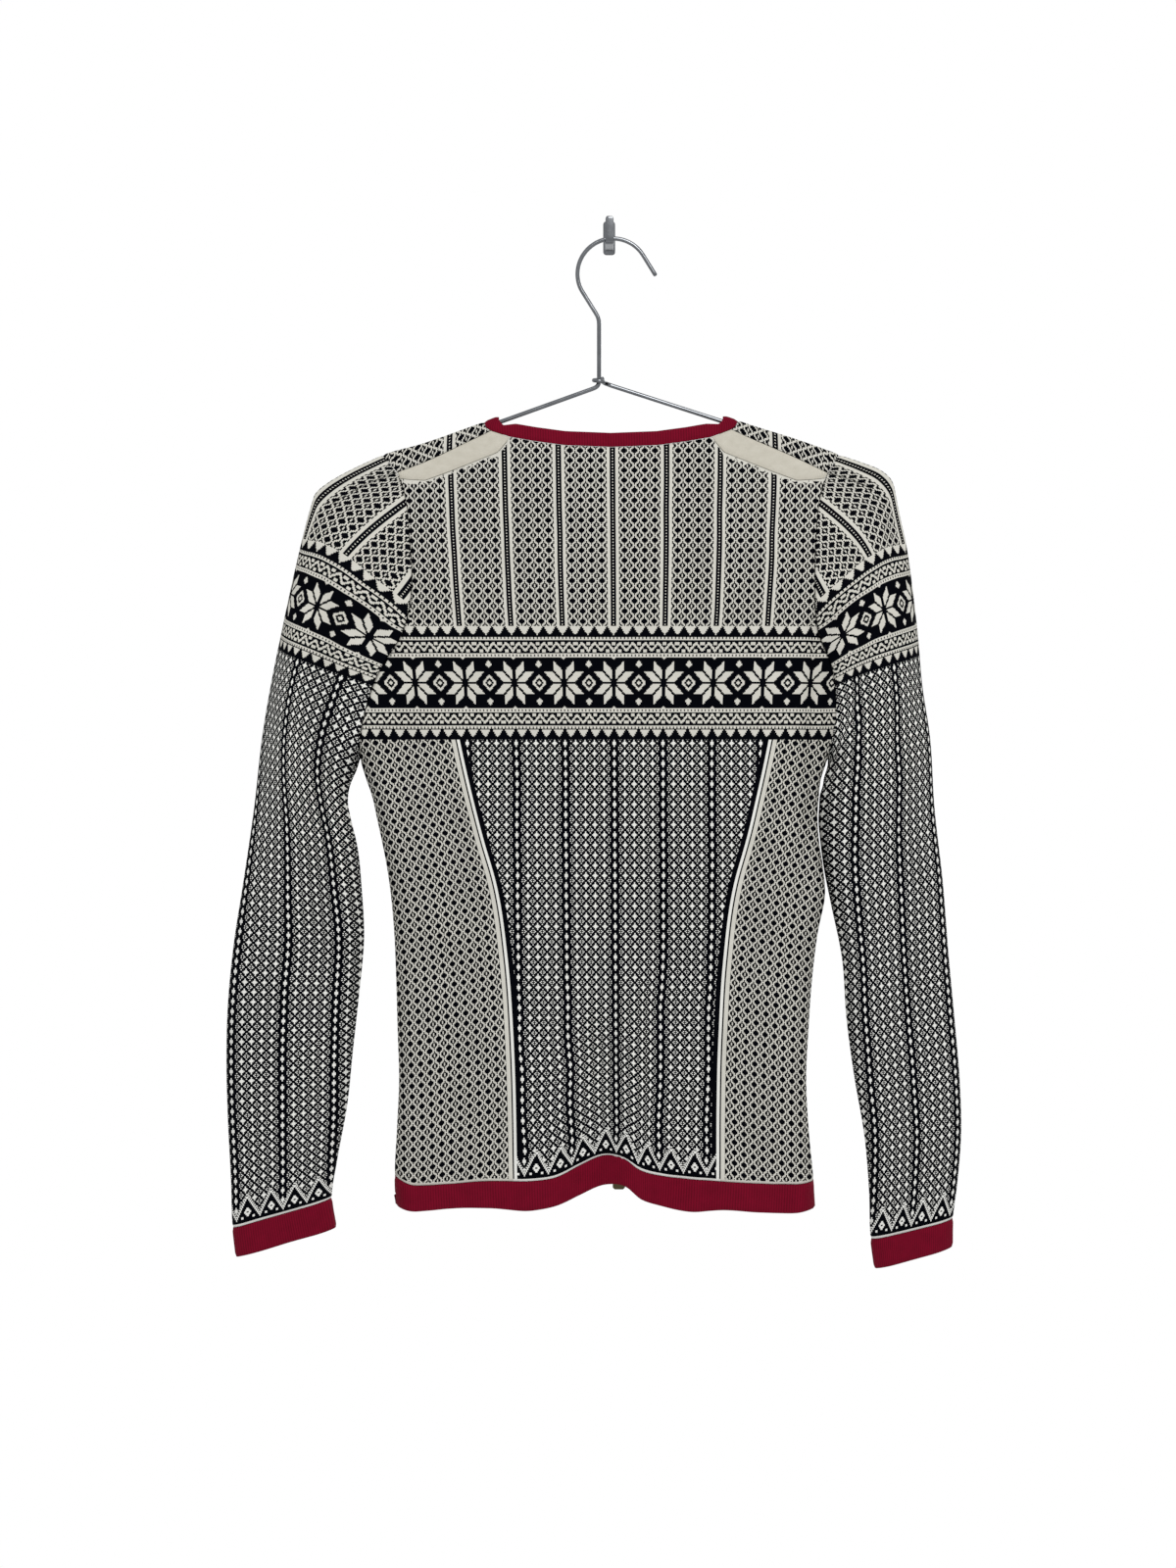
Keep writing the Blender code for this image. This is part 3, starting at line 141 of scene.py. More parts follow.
# Top edge of the back panel: place across and height, mirrored about the centre line
BACK_TOP_ROWS = (
    (0, -159.2), (34, -157.8), (57, -154.6), (73, -151.6), (82, -162.8), (118, -177.2),
    (135, -183.4), (148, -182.6), (160, -181),
)
INSET_NECK_X = 73.0
# The shoulder seam's drop below the fold at its two ends, and the gap left at its outer tip
SEAM_DROP_AT_ARMHOLE, SEAM_DROP_AT_NECK, INSET_TIP = 16.0, 8.0, 1.6
# Neck end of the shoulder: drop below the fold and distance from the centre line
NECK_FOLD_ROWS = ((0, 92.6), (1.2, 92.6), (4, 91.6), (9, 87))
# Neckline of the front: place across and height, from the zip to the shoulder
FRONT_NECK_ROWS = (
    (5.2, -212), (28, -209.4), (49, -199.6), (66, -184), (78.5, -167.6), (86, -155.6), (90, -148.6),
)
BAND_WIDTH = 10.6
# Heights of the knots between which the fronts' rows are spaced, at the side and at the zip
TRUNK_ROW_Z = (-663, -630, -592, -554, -520, -492, -466, -441, -416, -400, -391)
FRONT_INNER_Z = (-352, -334, -308, -278, -246)

# Zip
ZIP_X_TOP, ZIP_X_BOTTOM = 0.0, 6.0
ZIP_TOP_Z, ZIP_BOTTOM_Z = -203.5, -692.0
# From the zip's middle line to a front panel's edge, and to the edges of its tape
PANEL_TO_ZIP, TAPE_INNER, TAPE_OUTER = 5.2, 3.1, 13.0
TAPE_THICKNESS = 0.7
TAPE_BEHIND = WALL + 0.5

# Folds: side, ends of the crest in the plane, half width, height out of the sheet
FOLD_ROWS = (
    (BACK, -209, -280, -213, -520, 9, -5.5),
    (BACK, -197, -365, -194, -560, 11, 3.5),
    (BACK, -176, -372, -138, -322, 8, 3.5),
    (BACK, -168, -395, -128, -352, 9, -3),
    (BACK, 152, -292, 146, -420, 10, -8),
    (BACK, 172, -270, 168, -450, 11, 5),
    (BACK, 214, -330, 222, -560, 10, -3.5),
    (BACK, -108, -430, -112, -730, 22, -3),
    (BACK, -12, -600, -16, -735, 15, -7),
    (BACK, 14, -560, 17, -735, 10, 6),
    (BACK, 44, -470, 40, -735, 16, -3.5),
    (BACK, 96, -440, 92, -735, 24, 3.5),
    (FRONT, -96, -400, -88, -735, 22, -3),
    (FRONT, -52, -520, -48, -735, 16, 3),
    (FRONT, 62, -500, 66, -735, 17, 3.5),
    (FRONT, 108, -420, 104, -735, 20, -3),
    (FRONT, -160, -384, -122, -318, 9, 3),
    (FRONT, 150, -380, 122, -318, 9, 3),
    (FRONT, -222, -330, -226, -560, 10, -3),
    (FRONT, 204, -330, 214, -560, 10, -3),
)
# Length over which a fold dies away beyond the ends of its crest
FOLD_FADE = 38.0
# Small creases, in the same columns
CREASE_ROWS = (
    (BACK, -262, -352, -214, -372, 4, -1.2),
    (BACK, -256, -424, -216, -436, 4.5, -1.1),
    (BACK, -268, -498, -226, -486, 5, 1.2),
    (BACK, -250, -560, -206, -588, 5, -1.2),
    (BACK, 232, -402, 184, -424, 4.5, -1.2),
    (BACK, 238, -476, 190, -500, 5, 1.2),
    (BACK, 246, -566, 204, -548, 5, -1.1),
    (BACK, -148, -452, -116, -438, 5, -0.9),
    (BACK, 140, -470, 106, -452, 5, -0.9),
    (BACK, -138, -300, -126, -212, 5, -1.2),
    (BACK, 134, -300, 124, -214, 5, -1.2),
    (BACK, -62, -640, -58, -735, 8, 1.8),
    (BACK, 66, -650, 70, -735, 8, -1.6),
    (BACK, 128, -640, 124, -735, 7, -1.6),
    (BACK, -136, -640, -134, -735, 7, -1.6),
    (FRONT, -30, -560, -28, -735, 9, -2),
    (FRONT, 34, -560, 36, -735, 9, -2),
    (FRONT, -140, -300, -122, -220, 6, -1.3),
    (FRONT, 138, -300, 122, -220, 6, -1.3),
)
# Soft unevenness of hung cloth: wave length across and along, phase, height, all millimetres
UNEVEN_ROWS = (
    (61, 140, 0.4, 0.55), (37, -96, 2.1, 0.40), (88, 52, 4, 0.45), (-29, 71, 1.3, 0.28),
)


def smooth(knots: Sequence[float], values: Sequence[float], at: np.ndarray) -> np.ndarray:
    """A curve through the knots: between two knots a cubic whose slopes come from the neighbours.

    Args:
        knots: places of the knots, rising or falling.
        values: height of the curve at each knot.
        at: places where the curve is wanted.

    Returns:
        The curve's heights.
    """
    knots, values = np.asarray(knots, float), np.asarray(values, float)
    if knots[0] > knots[-1]:
        knots, values = knots[::-1], values[::-1]
    slopes = np.gradient(values, knots)
    at = np.clip(np.asarray(at, float), knots[0], knots[-1])
    i = np.clip(np.searchsorted(knots, at) - 1, 0, len(knots) - 2)
    step = knots[i + 1] - knots[i]
    t = (at - knots[i]) / step
    start = (2 * t**3 - 3 * t**2 + 1) * values[i] + (t**3 - 2 * t**2 + t) * step * slopes[i]
    end = (3 * t**2 - 2 * t**3) * values[i + 1] + (t**3 - t**2) * step * slopes[i + 1]
    return start + end


def column(rows: Sequence[Sequence[float]], index: int) -> np.ndarray:
    """One column of a table."""
    return np.array([row[index] for row in rows])


def curve(rows: Sequence[Sequence[float]], at: np.ndarray, index: int = 1) -> np.ndarray:
    """The smooth curve through a column of a table, over the table's first column."""
    return smooth(column(rows, 0), column(rows, index), at)


def steps(rows: Sequence[Sequence[float]], at: np.ndarray, index: int = 1) -> np.ndarray:
    """The straight steps through a column of a table, over the table's first column."""
    return np.interp(at, column(rows, 0), column(rows, index))


def crowded(count: int, ends: float) -> np.ndarray:
    """Shares from 0 to 1 that stand closer together near both ends.

    The share is t less a sine of one turn: t - ends * sin(2 pi t) / (2 pi).

    Args:
        count: how many shares.
        ends: 0 for even steps, near 1 for very small steps at the ends.

    Returns:
        The shares.
    """
    t = np.linspace(0, 1, count)
    return t - ends * np.sin(2 * math.pi * t) / (2 * math.pi)


def run_length(points: np.ndarray, axis: int = 0) -> np.ndarray:
    """Distance along a line of points, or along the rows or columns of a grid, from the first."""
    gaps = np.linalg.norm(np.diff(points, axis=axis), axis=-1)
    return np.concatenate([np.zeros_like(gaps.take([0], axis)), np.cumsum(gaps, axis)], axis)


def resampled(line: np.ndarray, shares: np.ndarray) -> np.ndarray:
    """Points at the given shares of a line's length, by straight steps between its points."""
    run = run_length(line)
    return np.column_stack([np.interp(shares * run[-1], run, line[:, i]) for i in range(line.shape[1])])


@dataclass(frozen=True)
class Drape:
    """How the hung garment fills space: its edges in the plane, and its depth out of the plane."""

    spread: float = 150.0
    rounding: float = 16.0
    edge_steps: int = 150
    slope_reach: float = 4.0
    # Folds start at fold_calm times this drop below the shoulder, and are full one drop further down
    fold_onset: float = 60.0
    fold_calm: float = 0.3

    def shoulder_z(self, x: np.ndarray) -> np.ndarray:
        """Height of the shoulder fold at a place across the garment."""
        x = np.asarray(x, float)
        return np.where(x < 0, curve(SHOULDER_ROWS, np.abs(x), 1), curve(SHOULDER_ROWS, np.abs(x), 2))

    def shoulder_cosine(self, x: np.ndarray) -> np.ndarray:
        """Cosine of the shoulder line's slope, which turns a drop in height into a distance."""
        x, reach = np.asarray(x), self.slope_reach
        slope = (self.shoulder_z(x + reach) - self.shoulder_z(x - reach)) / (2 * reach)
        return 1.0 / np.sqrt(1.0 + slope**2)

    def drop(self, x: np.ndarray, z: np.ndarray) -> np.ndarray:
        """Distance of a point below the shoulder fold."""
        return (self.shoulder_z(x) - z) * self.shoulder_cosine(x)

    def below(self, x: np.ndarray, drop: np.ndarray) -> np.ndarray:
        """Height of the point at this place across that lies this far below the fold."""
        return self.shoulder_z(x) - drop / self.shoulder_cosine(x)

    def trunk_x(self, hand: int, z: np.ndarray) -> np.ndarray:
        """Place of the trunk's side edge at a height."""
        return hand * curve(TRUNK_EDGE_ROWS, z, 1 if hand == LEFT else 2)

    def armhole_x(self, hand: int, z: np.ndarray) -> np.ndarray:
        """Place of the armhole seam at a height."""
        return hand * curve(ARMHOLE_ROWS, z, 1 if hand == LEFT else 2)

    def sleeve_rows(self, hand: int) -> np.ndarray:
        """The section table of one sleeve and its cuff, with places signed by the side."""
        return np.array([(hand * a, b, hand * c, d) for a, b, c, d in (*SLEEVE_ROWS[hand], CUFF_ROW[hand])])

    def armhole_z(self, hand: int, drop: float) -> float:
        """Height on the armhole seam at a distance below the shoulder fold, found on a fine scale."""
        z = np.linspace(-260.0, ARMHOLE_ROWS[-1][0], 300)
        return float(np.interp(-drop, -self.drop(self.armhole_x(hand, z), z), z))

    def sleeve_edge(self, hand: int, outer: bool) -> tuple[np.ndarray, np.ndarray]:
        """Places and heights of one long edge of a sleeve, run on past the cuff."""
        rows = self.sleeve_rows(hand)[SHOULDER_SECTIONS if outer else 0 :]
        x, z = rows[:, 0 if outer else 2], rows[:, 1 if outer else 3]
        return np.append(x, 2 * x[-1] - x[-2]), np.append(z, 2 * z[-1] - z[-2])

    def edges(self, region: Union[str, int]) -> list[tuple[np.ndarray, int]]:
        """The lines at which a region's sheets meet, each with its inward direction in x.

        Args:
            region: "trunk", or the hand of a sleeve.

        Returns:
            Pairs of a line of points, low to high, and +1 or -1.
        """
        found = []
        if region == "trunk":
            z = np.linspace(-740.0, UNDERARM_Z, self.edge_steps)
            found += [(np.column_stack([self.trunk_x(hand, z), z]), -hand) for hand in (LEFT, RIGHT)]
        for hand in (LEFT, RIGHT) if region == "trunk" else (region,):
            for outer in (True,) if region == "trunk" else (True, False):
                x, z = self.sleeve_edge(hand, outer)
                fine = np.linspace(z[-1], z[0], self.edge_steps)
                found.append((np.column_stack([smooth(z, x, fine), fine]), -hand if outer else hand))
        return found

    def distance_inside(self, x: np.ndarray, z: np.ndarray, line: np.ndarray, inward: int) -> np.ndarray:
        """Distance from an edge line, positive on its inward side and above its upper end.

        It is the least distance to any of the line's straight steps, each met at its own
        nearest point.

        Args:
            x: places across.
            z: heights.
            line: the edge's points, low to high.
            inward: the direction in x of the inside.

        Returns:
            The signed distances.
        """
        flat_x, flat_z = np.ravel(x), np.ravel(z)
        a, step = line[:-1], np.diff(line, axis=0)
        least = np.full(flat_x.shape, 1e9)
        for (ax, az), (sx, sz) in zip(a, step):
            share = np.clip(((flat_x - ax) * sx + (flat_z - az) * sz) / (sx * sx + sz * sz), 0, 1)
            least = np.minimum(least, (flat_x - ax - share * sx) ** 2 + (flat_z - az - share * sz) ** 2)
        side = np.sign((flat_x - np.interp(flat_z, line[:, 1], line[:, 0])) * inward)
        return (np.sqrt(least) * np.where(flat_z > line[-1, 1], 1.0, side)).reshape(np.shape(x))

    def side_rounding(self, x: np.ndarray, z: np.ndarray, region: Union[str, int]) -> np.ndarray:
        """Squared share of the full depth: a quarter circle that falls to 0 at the side edges."""
        nearest = np.minimum.reduce([self.distance_inside(x, z, *edge) for edge in self.edges(region)])
        return 1.0 - (1.0 - np.minimum(nearest / self.rounding, 1.0)) ** 2

    def depth(
        self, x: np.ndarray, z: np.ndarray, region: Union[str, int], side: int, rounding: np.ndarray
    ) -> np.ndarray:
        """Distance from the hanger's plane to a sheet, without its folds.

        Near the shoulder it is a circle of the fold's radius. Below, it grows with a quarter
        sine of the drop to the full depth, and the side rounding shrinks it at the edges.

        Args:
            x: places across.
            z: heights.
            region: "trunk", or the hand of a sleeve.
            side: BACK or FRONT.
            rounding: squared share of the depth that the side edges leave.

        Returns:
            The distances.
        """
        drop = self.drop(x, z)
        index = 1 + (side == FRONT) + 2 * (region != "trunk")
        full = curve(DEPTH_ROWS, z, index)
        spread = np.sin(np.clip((drop - FOLD_RADIUS) / self.spread, 0, 1) * math.pi / 2)
        tent = FOLD_RADIUS + (full - FOLD_RADIUS) * spread
        fold = FOLD_RADIUS**2 - (FOLD_RADIUS - drop) ** 2
        return np.sqrt(np.maximum(rounding * np.where(drop < FOLD_RADIUS, fold, tent**2), 0))

    def folds(self, x: np.ndarray, z: np.ndarray, side: int, rounding: np.ndarray) -> np.ndarray:
        """Ridges, troughs and soft unevenness of a sheet, as heights out of it.

        Each ridge is a bell across its crest line, faded beyond the line's ends. The
        unevenness is a sum of slanting sines.

        Args:
            x: places across.
            z: heights.
            side: BACK or FRONT.
            rounding: share that the side edges leave.

        Returns:
            The heights.
        """
        total = np.zeros(np.shape(x))
        for fold_side, x0, z0, x1, z1, half_width, height in FOLD_ROWS + CREASE_ROWS:
            if fold_side != side:
                continue
            length = math.hypot(x1 - x0, z1 - z0)
            fade = min(FOLD_FADE, 0.5 * length)
            ux, uz = (x1 - x0) / length, (z1 - z0) / length
            along = (x - x0) * ux + (z - z0) * uz
            across = (x - x0) * uz - (z - z0) * ux
            beyond = np.maximum(np.maximum(-along, along - length), 0)
            ends = np.exp(-((beyond / fade) ** 2)) * np.clip(along / fade + 1, 0, 1)
            total += height * np.exp(-((across / half_width) ** 2)) * ends
        for wide, tall, phase, height in UNEVEN_ROWS:
            total += height * np.sin(2 * math.pi * (x / wide + z / tall) + phase + side)
        calm = np.clip(self.drop(x, z) / self.fold_onset - self.fold_calm, 0, 1)
        return total * np.clip(rounding, 0, 1) * calm

    def points(
        self,
        x: np.ndarray,
        z: np.ndarray,
        region: Union[str, int],
        side: Union[int, np.ndarray],
        least: Union[float, np.ndarray] = 0.0,
        on_edge: Optional[np.ndarray] = None,
    ) -> np.ndarray:
        """Points on the outside of the sheets.

        Args:
            x: places across from the centre line.
            z: heights.
            region: "trunk", or the hand of a sleeve.
            side: BACK or FRONT, one for all points or one for each.
            least: the least distance from the hanger's plane.
            on_edge: true for points that lie on an edge where the sheets meet.

        Returns:
            The points, in millimetres in the row frame.
        """
        side = np.broadcast_to(side, np.shape(x))
        rounding = self.side_rounding(x, z, region)
        if on_edge is not None:
            rounding = np.where(on_edge, 0.0, np.maximum(rounding, 0.0))
        y = np.zeros(np.shape(x))
        for each in (BACK, FRONT):
            depth = np.maximum(self.depth(x, z, region, each, rounding), least)
            y = np.where(side == each, PLANE_Y + each * (depth + self.folds(x, z, each, rounding)), y)
        return np.stack([x + GARMENT_X, y, z], -1)


DRAPE = Drape()


def grid_normals(points: np.ndarray, ring: bool) -> np.ndarray:
    """Unit normals of a grid: the cross product of its two central differences.

    Args:
        points: rows by columns by 3.
        ring: true where the last column meets the first.

    Returns:
        One normal for each point, out of the garment.
    """
    down = np.gradient(points, axis=0)
    if ring:
        across = (np.roll(points, -1, axis=1) - np.roll(points, 1, axis=1)) / 2
    else:
        across = np.gradient(points, axis=1)
    normal = np.cross(across, down)
    normal /= np.maximum(np.linalg.norm(normal, axis=-1, keepdims=True), 1e-12)
    return normal


def quads(rows: int, columns: int, ring: bool, start: int = 0) -> np.ndarray:
    """Faces between neighbouring points of a grid, closed round where ring is true."""
    r, c = np.meshgrid(np.arange(rows - 1), np.arange(columns if ring else columns - 1), indexing="ij")
    d = (c + 1) % columns
    a, b = start + r * columns, start + (r + 1) * columns
    return np.stack([a + c, a + d, b + d, b + c], -1).reshape(-1, 4)


def closed_rings(rings: int, sides: int) -> np.ndarray:
    """Faces between rings of points, an even number in each, with strips over both ends."""
    faces = [quads(rings, sides, True)]
    rim = np.arange(sides // 2 - 1)
    strip = np.stack([rim, rim + 1, sides - 2 - rim, sides - 1 - rim], -1)
    return np.concatenate([*faces, strip[:, ::-1], strip + (rings - 1) * sides])


def new_mesh(
    name: str,
    points: np.ndarray,
    faces: np.ndarray,
    uvs: Optional[dict[str, np.ndarray]] = None,
    uv_faces: Optional[np.ndarray] = None,
) -> bpy.types.Object:
    """An object whose mesh is made of four-sided faces, with its UV maps.

    Args:
        name: the object's name.
        points: vertices in millimetres.
        faces: four vertex numbers each.
        uvs: for each map a list of pairs.
        uv_faces: for each face the four rows of that list, where they aren't the vertex numbers.

    Returns:
        The object, at the origin and linked to the scene.
    """
    mesh = bpy.data.meshes.new(name)
    mesh.vertices.add(len(points))
    mesh.vertices.foreach_set("co", (np.asarray(points, float) * MM).ravel())
    mesh.loops.add(4 * len(faces))
    mesh.loops.foreach_set("vertex_index", np.asarray(faces, np.int32).ravel())
    mesh.polygons.add(len(faces))
    mesh.polygons.foreach_set("loop_start", np.arange(0, 4 * len(faces), 4, dtype=np.int32))
    mesh.update(calc_edges=True)
    where = np.ravel(faces if uv_faces is None else uv_faces)
    for key, pairs in (uvs or {}).items():
        layer = mesh.uv_layers.new(name=key)
        layer.data.foreach_set("uv", np.asarray(pairs, float)[where].ravel())
    mesh.shade_smooth()
    made = bpy.data.objects.new(name, mesh)
    bpy.context.scene.collection.objects.link(made)
    return made


def volume(points: np.ndarray, faces: np.ndarray) -> float:
    """Signed volume of a closed shape of four-sided faces, above 0 where they point outwards."""
    a, b, c, d = (points[faces[:, i]] for i in range(4))
    return float((np.cross(a, b) * c).sum() + (np.cross(a, c) * d).sum())


def edge_runs(points: np.ndarray, ring: bool) -> np.ndarray:
    """Distance of each point of a grid from its nearest free edge, along the rows or columns."""
    down = run_length(points)
    edge = np.minimum(down, down[-1:] - down)
    if not ring:
        across = run_length(points, 1)
        edge = np.minimum(edge, np.minimum(across, across[:, -1:] - across))
    return edge


def cloth(
    name: str,
    outer: np.ndarray,
    maps: dict[str, np.ndarray],
    ring: bool = False,
    thickness: float = WALL,
    lift: float = 0.0,
    seam: float = 0.0,
    groove: float = 1.6,
) -> bpy.types.Object:
    """A knitted wall: a grid, the same grid moved inwards along its normals, and its cut edges.

    The outer grid sinks by a bell of its distance from the grid's free edges, so that two
    pieces meet in a shallow groove.

    Args:
        name: the piece's name.
        outer: rows by columns by 3 points of the outside.
        maps: for each UV map the cloth coordinates, with one more column for a tube.
        ring: true for a tube.
        thickness: of the wall.
        lift: how far the outside moves out along its normals first.
        seam: how deep the groove at the edges is.
        groove: half width of that groove.

    Returns:
        The piece.
    """
    normals = grid_normals(outer, ring)
    away = np.sign(outer[..., 1] - PLANE_Y)
    normals = normals * (1.0 if np.median(normals[..., 1] * away) > 0 else -1.0)
    sink = seam * np.exp(-((edge_runs(outer, ring) / groove) ** 2))
    outside = outer + (lift - sink)[..., None] * normals
    inside = outer + (lift - thickness) * normals
    rows, columns = outer.shape[:2]
    wide = columns + 1 if ring else columns
    c = np.arange(wide - 1)
    faces, uv_faces = [], []
    for found, width, closed in ((faces, columns, ring), (uv_faces, wide, False)):
        count, last = rows * width, (rows - 1) * width
        d = (c + 1) % columns if closed else c + 1
        found += [quads(rows, width, closed), quads(rows, width, closed, count)[:, ::-1]]
        found.append(np.stack([d, c, c + count, d + count], -1))
        found.append(np.stack([last + c, last + d, last + d + count, last + c + count], -1))
        if not ring:
            a = np.arange(rows - 1) * width
            b, e = a + width, width - 1
            found.append(np.stack([a, b, b + count, a + count], -1))
            found.append(np.stack([b + e, a + e, a + e + count, b + e + count], -1))
    faces, uv_faces = np.concatenate(faces), np.concatenate(uv_faces)
    points = np.concatenate([outside.reshape(-1, 3), inside.reshape(-1, 3)])
    if volume(points, faces) < 0:
        faces, uv_faces = faces[:, ::-1], uv_faces[:, ::-1]
    both = {key: np.concatenate([pairs.reshape(-1, 2)] * 2) for key, pairs in maps.items()}
    return new_mesh(name, points, faces, both, uv_faces)


def patch(
    left: np.ndarray, right: np.ndarray, bottom: np.ndarray, top: np.ndarray, u: np.ndarray, v: np.ndarray
) -> np.ndarray:
    """A grid that runs straight across each row and bends to follow the bottom and top lines.

    A point is the mix of the two side lines by u, plus the bottom line's and the top line's
    departures from straight, mixed by v.

    Args:
        left, right: places of the side lines, one for each row.
        bottom, top: places of the bottom and top lines, one for each column.
        u: share of the way across at each column.
        v: share of the way up at each row.

    Returns:
        Places, rows by columns by 2.
    """
    u, v = np.asarray(u)[None, :, None], np.asarray(v)[:, None, None]
    across = left[:, None] * (1 - u) + right[:, None] * u
    low = bottom[None] - (bottom[None, :1] * (1 - u) + bottom[None, -1:] * u)
    high = top[None] - (top[None, :1] * (1 - u) + top[None, -1:] * u)
    return across + (1 - v) * low + v * high


def hem_z(x: np.ndarray, side: int, edge: int) -> np.ndarray:
    """Height of the hem band's upper (1) or lower (2) edge."""
    return curve(HEM_ROWS[side], x, edge)


def trunk_edge(hand: int, z: np.ndarray) -> np.ndarray:
    """Places on a trunk panel's side: the side edge below the underarm, the armhole above."""
    x = np.where(z < UNDERARM_Z, DRAPE.trunk_x(hand, z), DRAPE.armhole_x(hand, z))
    return np.column_stack([x, z])


class Chart(Enum):
    """Names of the UV maps that carry cloth coordinates, in millimetres."""

    KNIT = "chart"
    ZONE = "zone"


BAND_CENTRE_Z = -331.0
# Place of the pattern's middle line, by height, and the reach of the hem's wave up the cloth
CHART_SHIFT = ((-690.0, 4.0), (-160.0, 1.0))
HEM_WAVE_REACH = 150.0
# Zone number of a point that is far from the edge that the zone is measured from
FAR = 99.0
# From the band's middle to where the inset's lower edge takes over from the princess line
YOKE_FROM = 10.0
# Width of one repeat of the pattern where it hangs, by height: the shoulders stretch it
REPEAT_ROWS = (
    (-700.0, 34.6), (-600.0, 35.0), (-460.0, 35.3), (-375.0, 35.4), (-325.0, 36.1), (-275.0, 37.6),
    (-190.0, 39.1), (-130.0, 39.6),
)
# Width and height of a stitch, and stitches in a repeat
STITCH, ROW, REPEAT = 0.944, 0.734, 42
# Line between the centre back and a side panel: height above the band's centre, distance out
PRINCESS_ROWS = (
    (-460.0, 73.0), (-355.0, 74.5), (-300.0, 75.2), (-252.0, 76.8), (-199.0, 80.5), (-144.0, 88.6),
    (-116.0, 96.6), (-77.0, 106.4), (-43.0, 113.8), (0.0, 122.0),
)


def chart_maps(u: np.ndarray, v: np.ndarray, beyond: np.ndarray, height: np.ndarray) -> dict[str, np.ndarray]:
    """The chart map of two cloth coordinates and the zone map of two distances."""
    return {Chart.KNIT.value: np.stack([u, v], -1), Chart.ZONE.value: np.stack([beyond, height], -1)}


def trunk_maps(grid: np.ndarray, side: int, points: np.ndarray) -> dict[str, np.ndarray]:
    """Cloth coordinates of a trunk panel.

    The chart's u is the level distance along the cloth from the middle line, times the width of a
    repeat in whole stitches over the width to which it is stretched there. Its v is the height
    above the band's centre, and near the hem it follows the hem's wave, which fades 150 mm
    up. The zone's first number is how far out of the princess line a point is, or above the
    band how far below the inset's lower edge, and its second how far above the hem band.

    Args:
        grid: places of the panel, with its part behind the shoulder fold run on upwards.
        side: BACK or FRONT.
        points: the panel's points in space.

    Returns:
        The chart and zone maps.
    """
    x, z = grid[..., 0], grid[..., 1]
    off = x - steps(CHART_SHIFT, z)
    run = run_length(points[..., :2], 1) * (1.0 if x[0, -1] > x[0, 0] else -1.0)
    nearest = np.abs(off).argmin(1)[:, None]
    run = run - np.take_along_axis(run, nearest, 1) + np.take_along_axis(off, nearest, 1)
    u = run * STITCH * REPEAT / curve(REPEAT_ROWS, z)
    wave = hem_z(x, side, 1) - HEM_LEVEL
    fade = np.clip(1 - (z - HEM_LEVEL) / HEM_WAVE_REACH, 0, 1)
    v = z - wave * fade * fade * (3 - 2 * fade) - BAND_CENTRE_Z
    beyond = np.abs(off) - curve(PRINCESS_ROWS, v)
    by_inset = (side == BACK) & (np.abs(x) > INSET_NECK_X)
    under_inset = np.where(by_inset, steps(BACK_TOP_ROWS, np.abs(x)) - z, FAR)
    beyond = np.where(v > YOKE_FROM, under_inset, beyond)
    return chart_maps(u, v, beyond, v + BAND_CENTRE_Z - HEM_LEVEL)


def flat_maps(grid: np.ndarray) -> dict[str, np.ndarray]:
    """Cloth coordinates of a narrow strip: length along its rows, and width across them."""
    along, across = run_length(grid, 1), run_length(grid)
    along = along - along.mean(1, keepdims=True)
    return chart_maps(along, across, along, np.repeat(across[-1:], len(grid), 0))


def dress(
    piece: bpy.types.Object,
    finish: bpy.types.Material,
    body: str = "sweater",
    nodes: Sequence[str] = (),
) -> bpy.types.Object:
    """Gives a piece its material and its body, and hides the CAD nodes that it stands for.

    Args:
        piece: the finished piece.
        finish: its material.
        body: the CAD body that it rides on.
        nodes: the CAD nodes that it replaces.

    Returns:
        The piece.
    """
    piece.data.materials.clear()
    piece.data.materials.append(finish)
    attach(piece, body)
    if nodes:
        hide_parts(*nodes)
    LOG.info("%s: %d faces on %s", piece.name, len(piece.data.polygons), body)
    return piece


def line_gap(line: np.ndarray, towards: np.ndarray, gap: float = SEAM_GAP) -> np.ndarray:
    """A line of places moved by a gap towards another line with as many points."""
    away = towards - line
    return line + gap * away / np.linalg.norm(away, axis=-1, keepdims=True)


@dataclass
class Finishes:
    """The materials of the whole sweater."""

    jacquard: bpy.types.Material
    plain: bpy.types.Material
    rib: bpy.types.Material
    tape: bpy.types.Material
    lacquer: bpy.types.Material
    chrome: bpy.types.Material


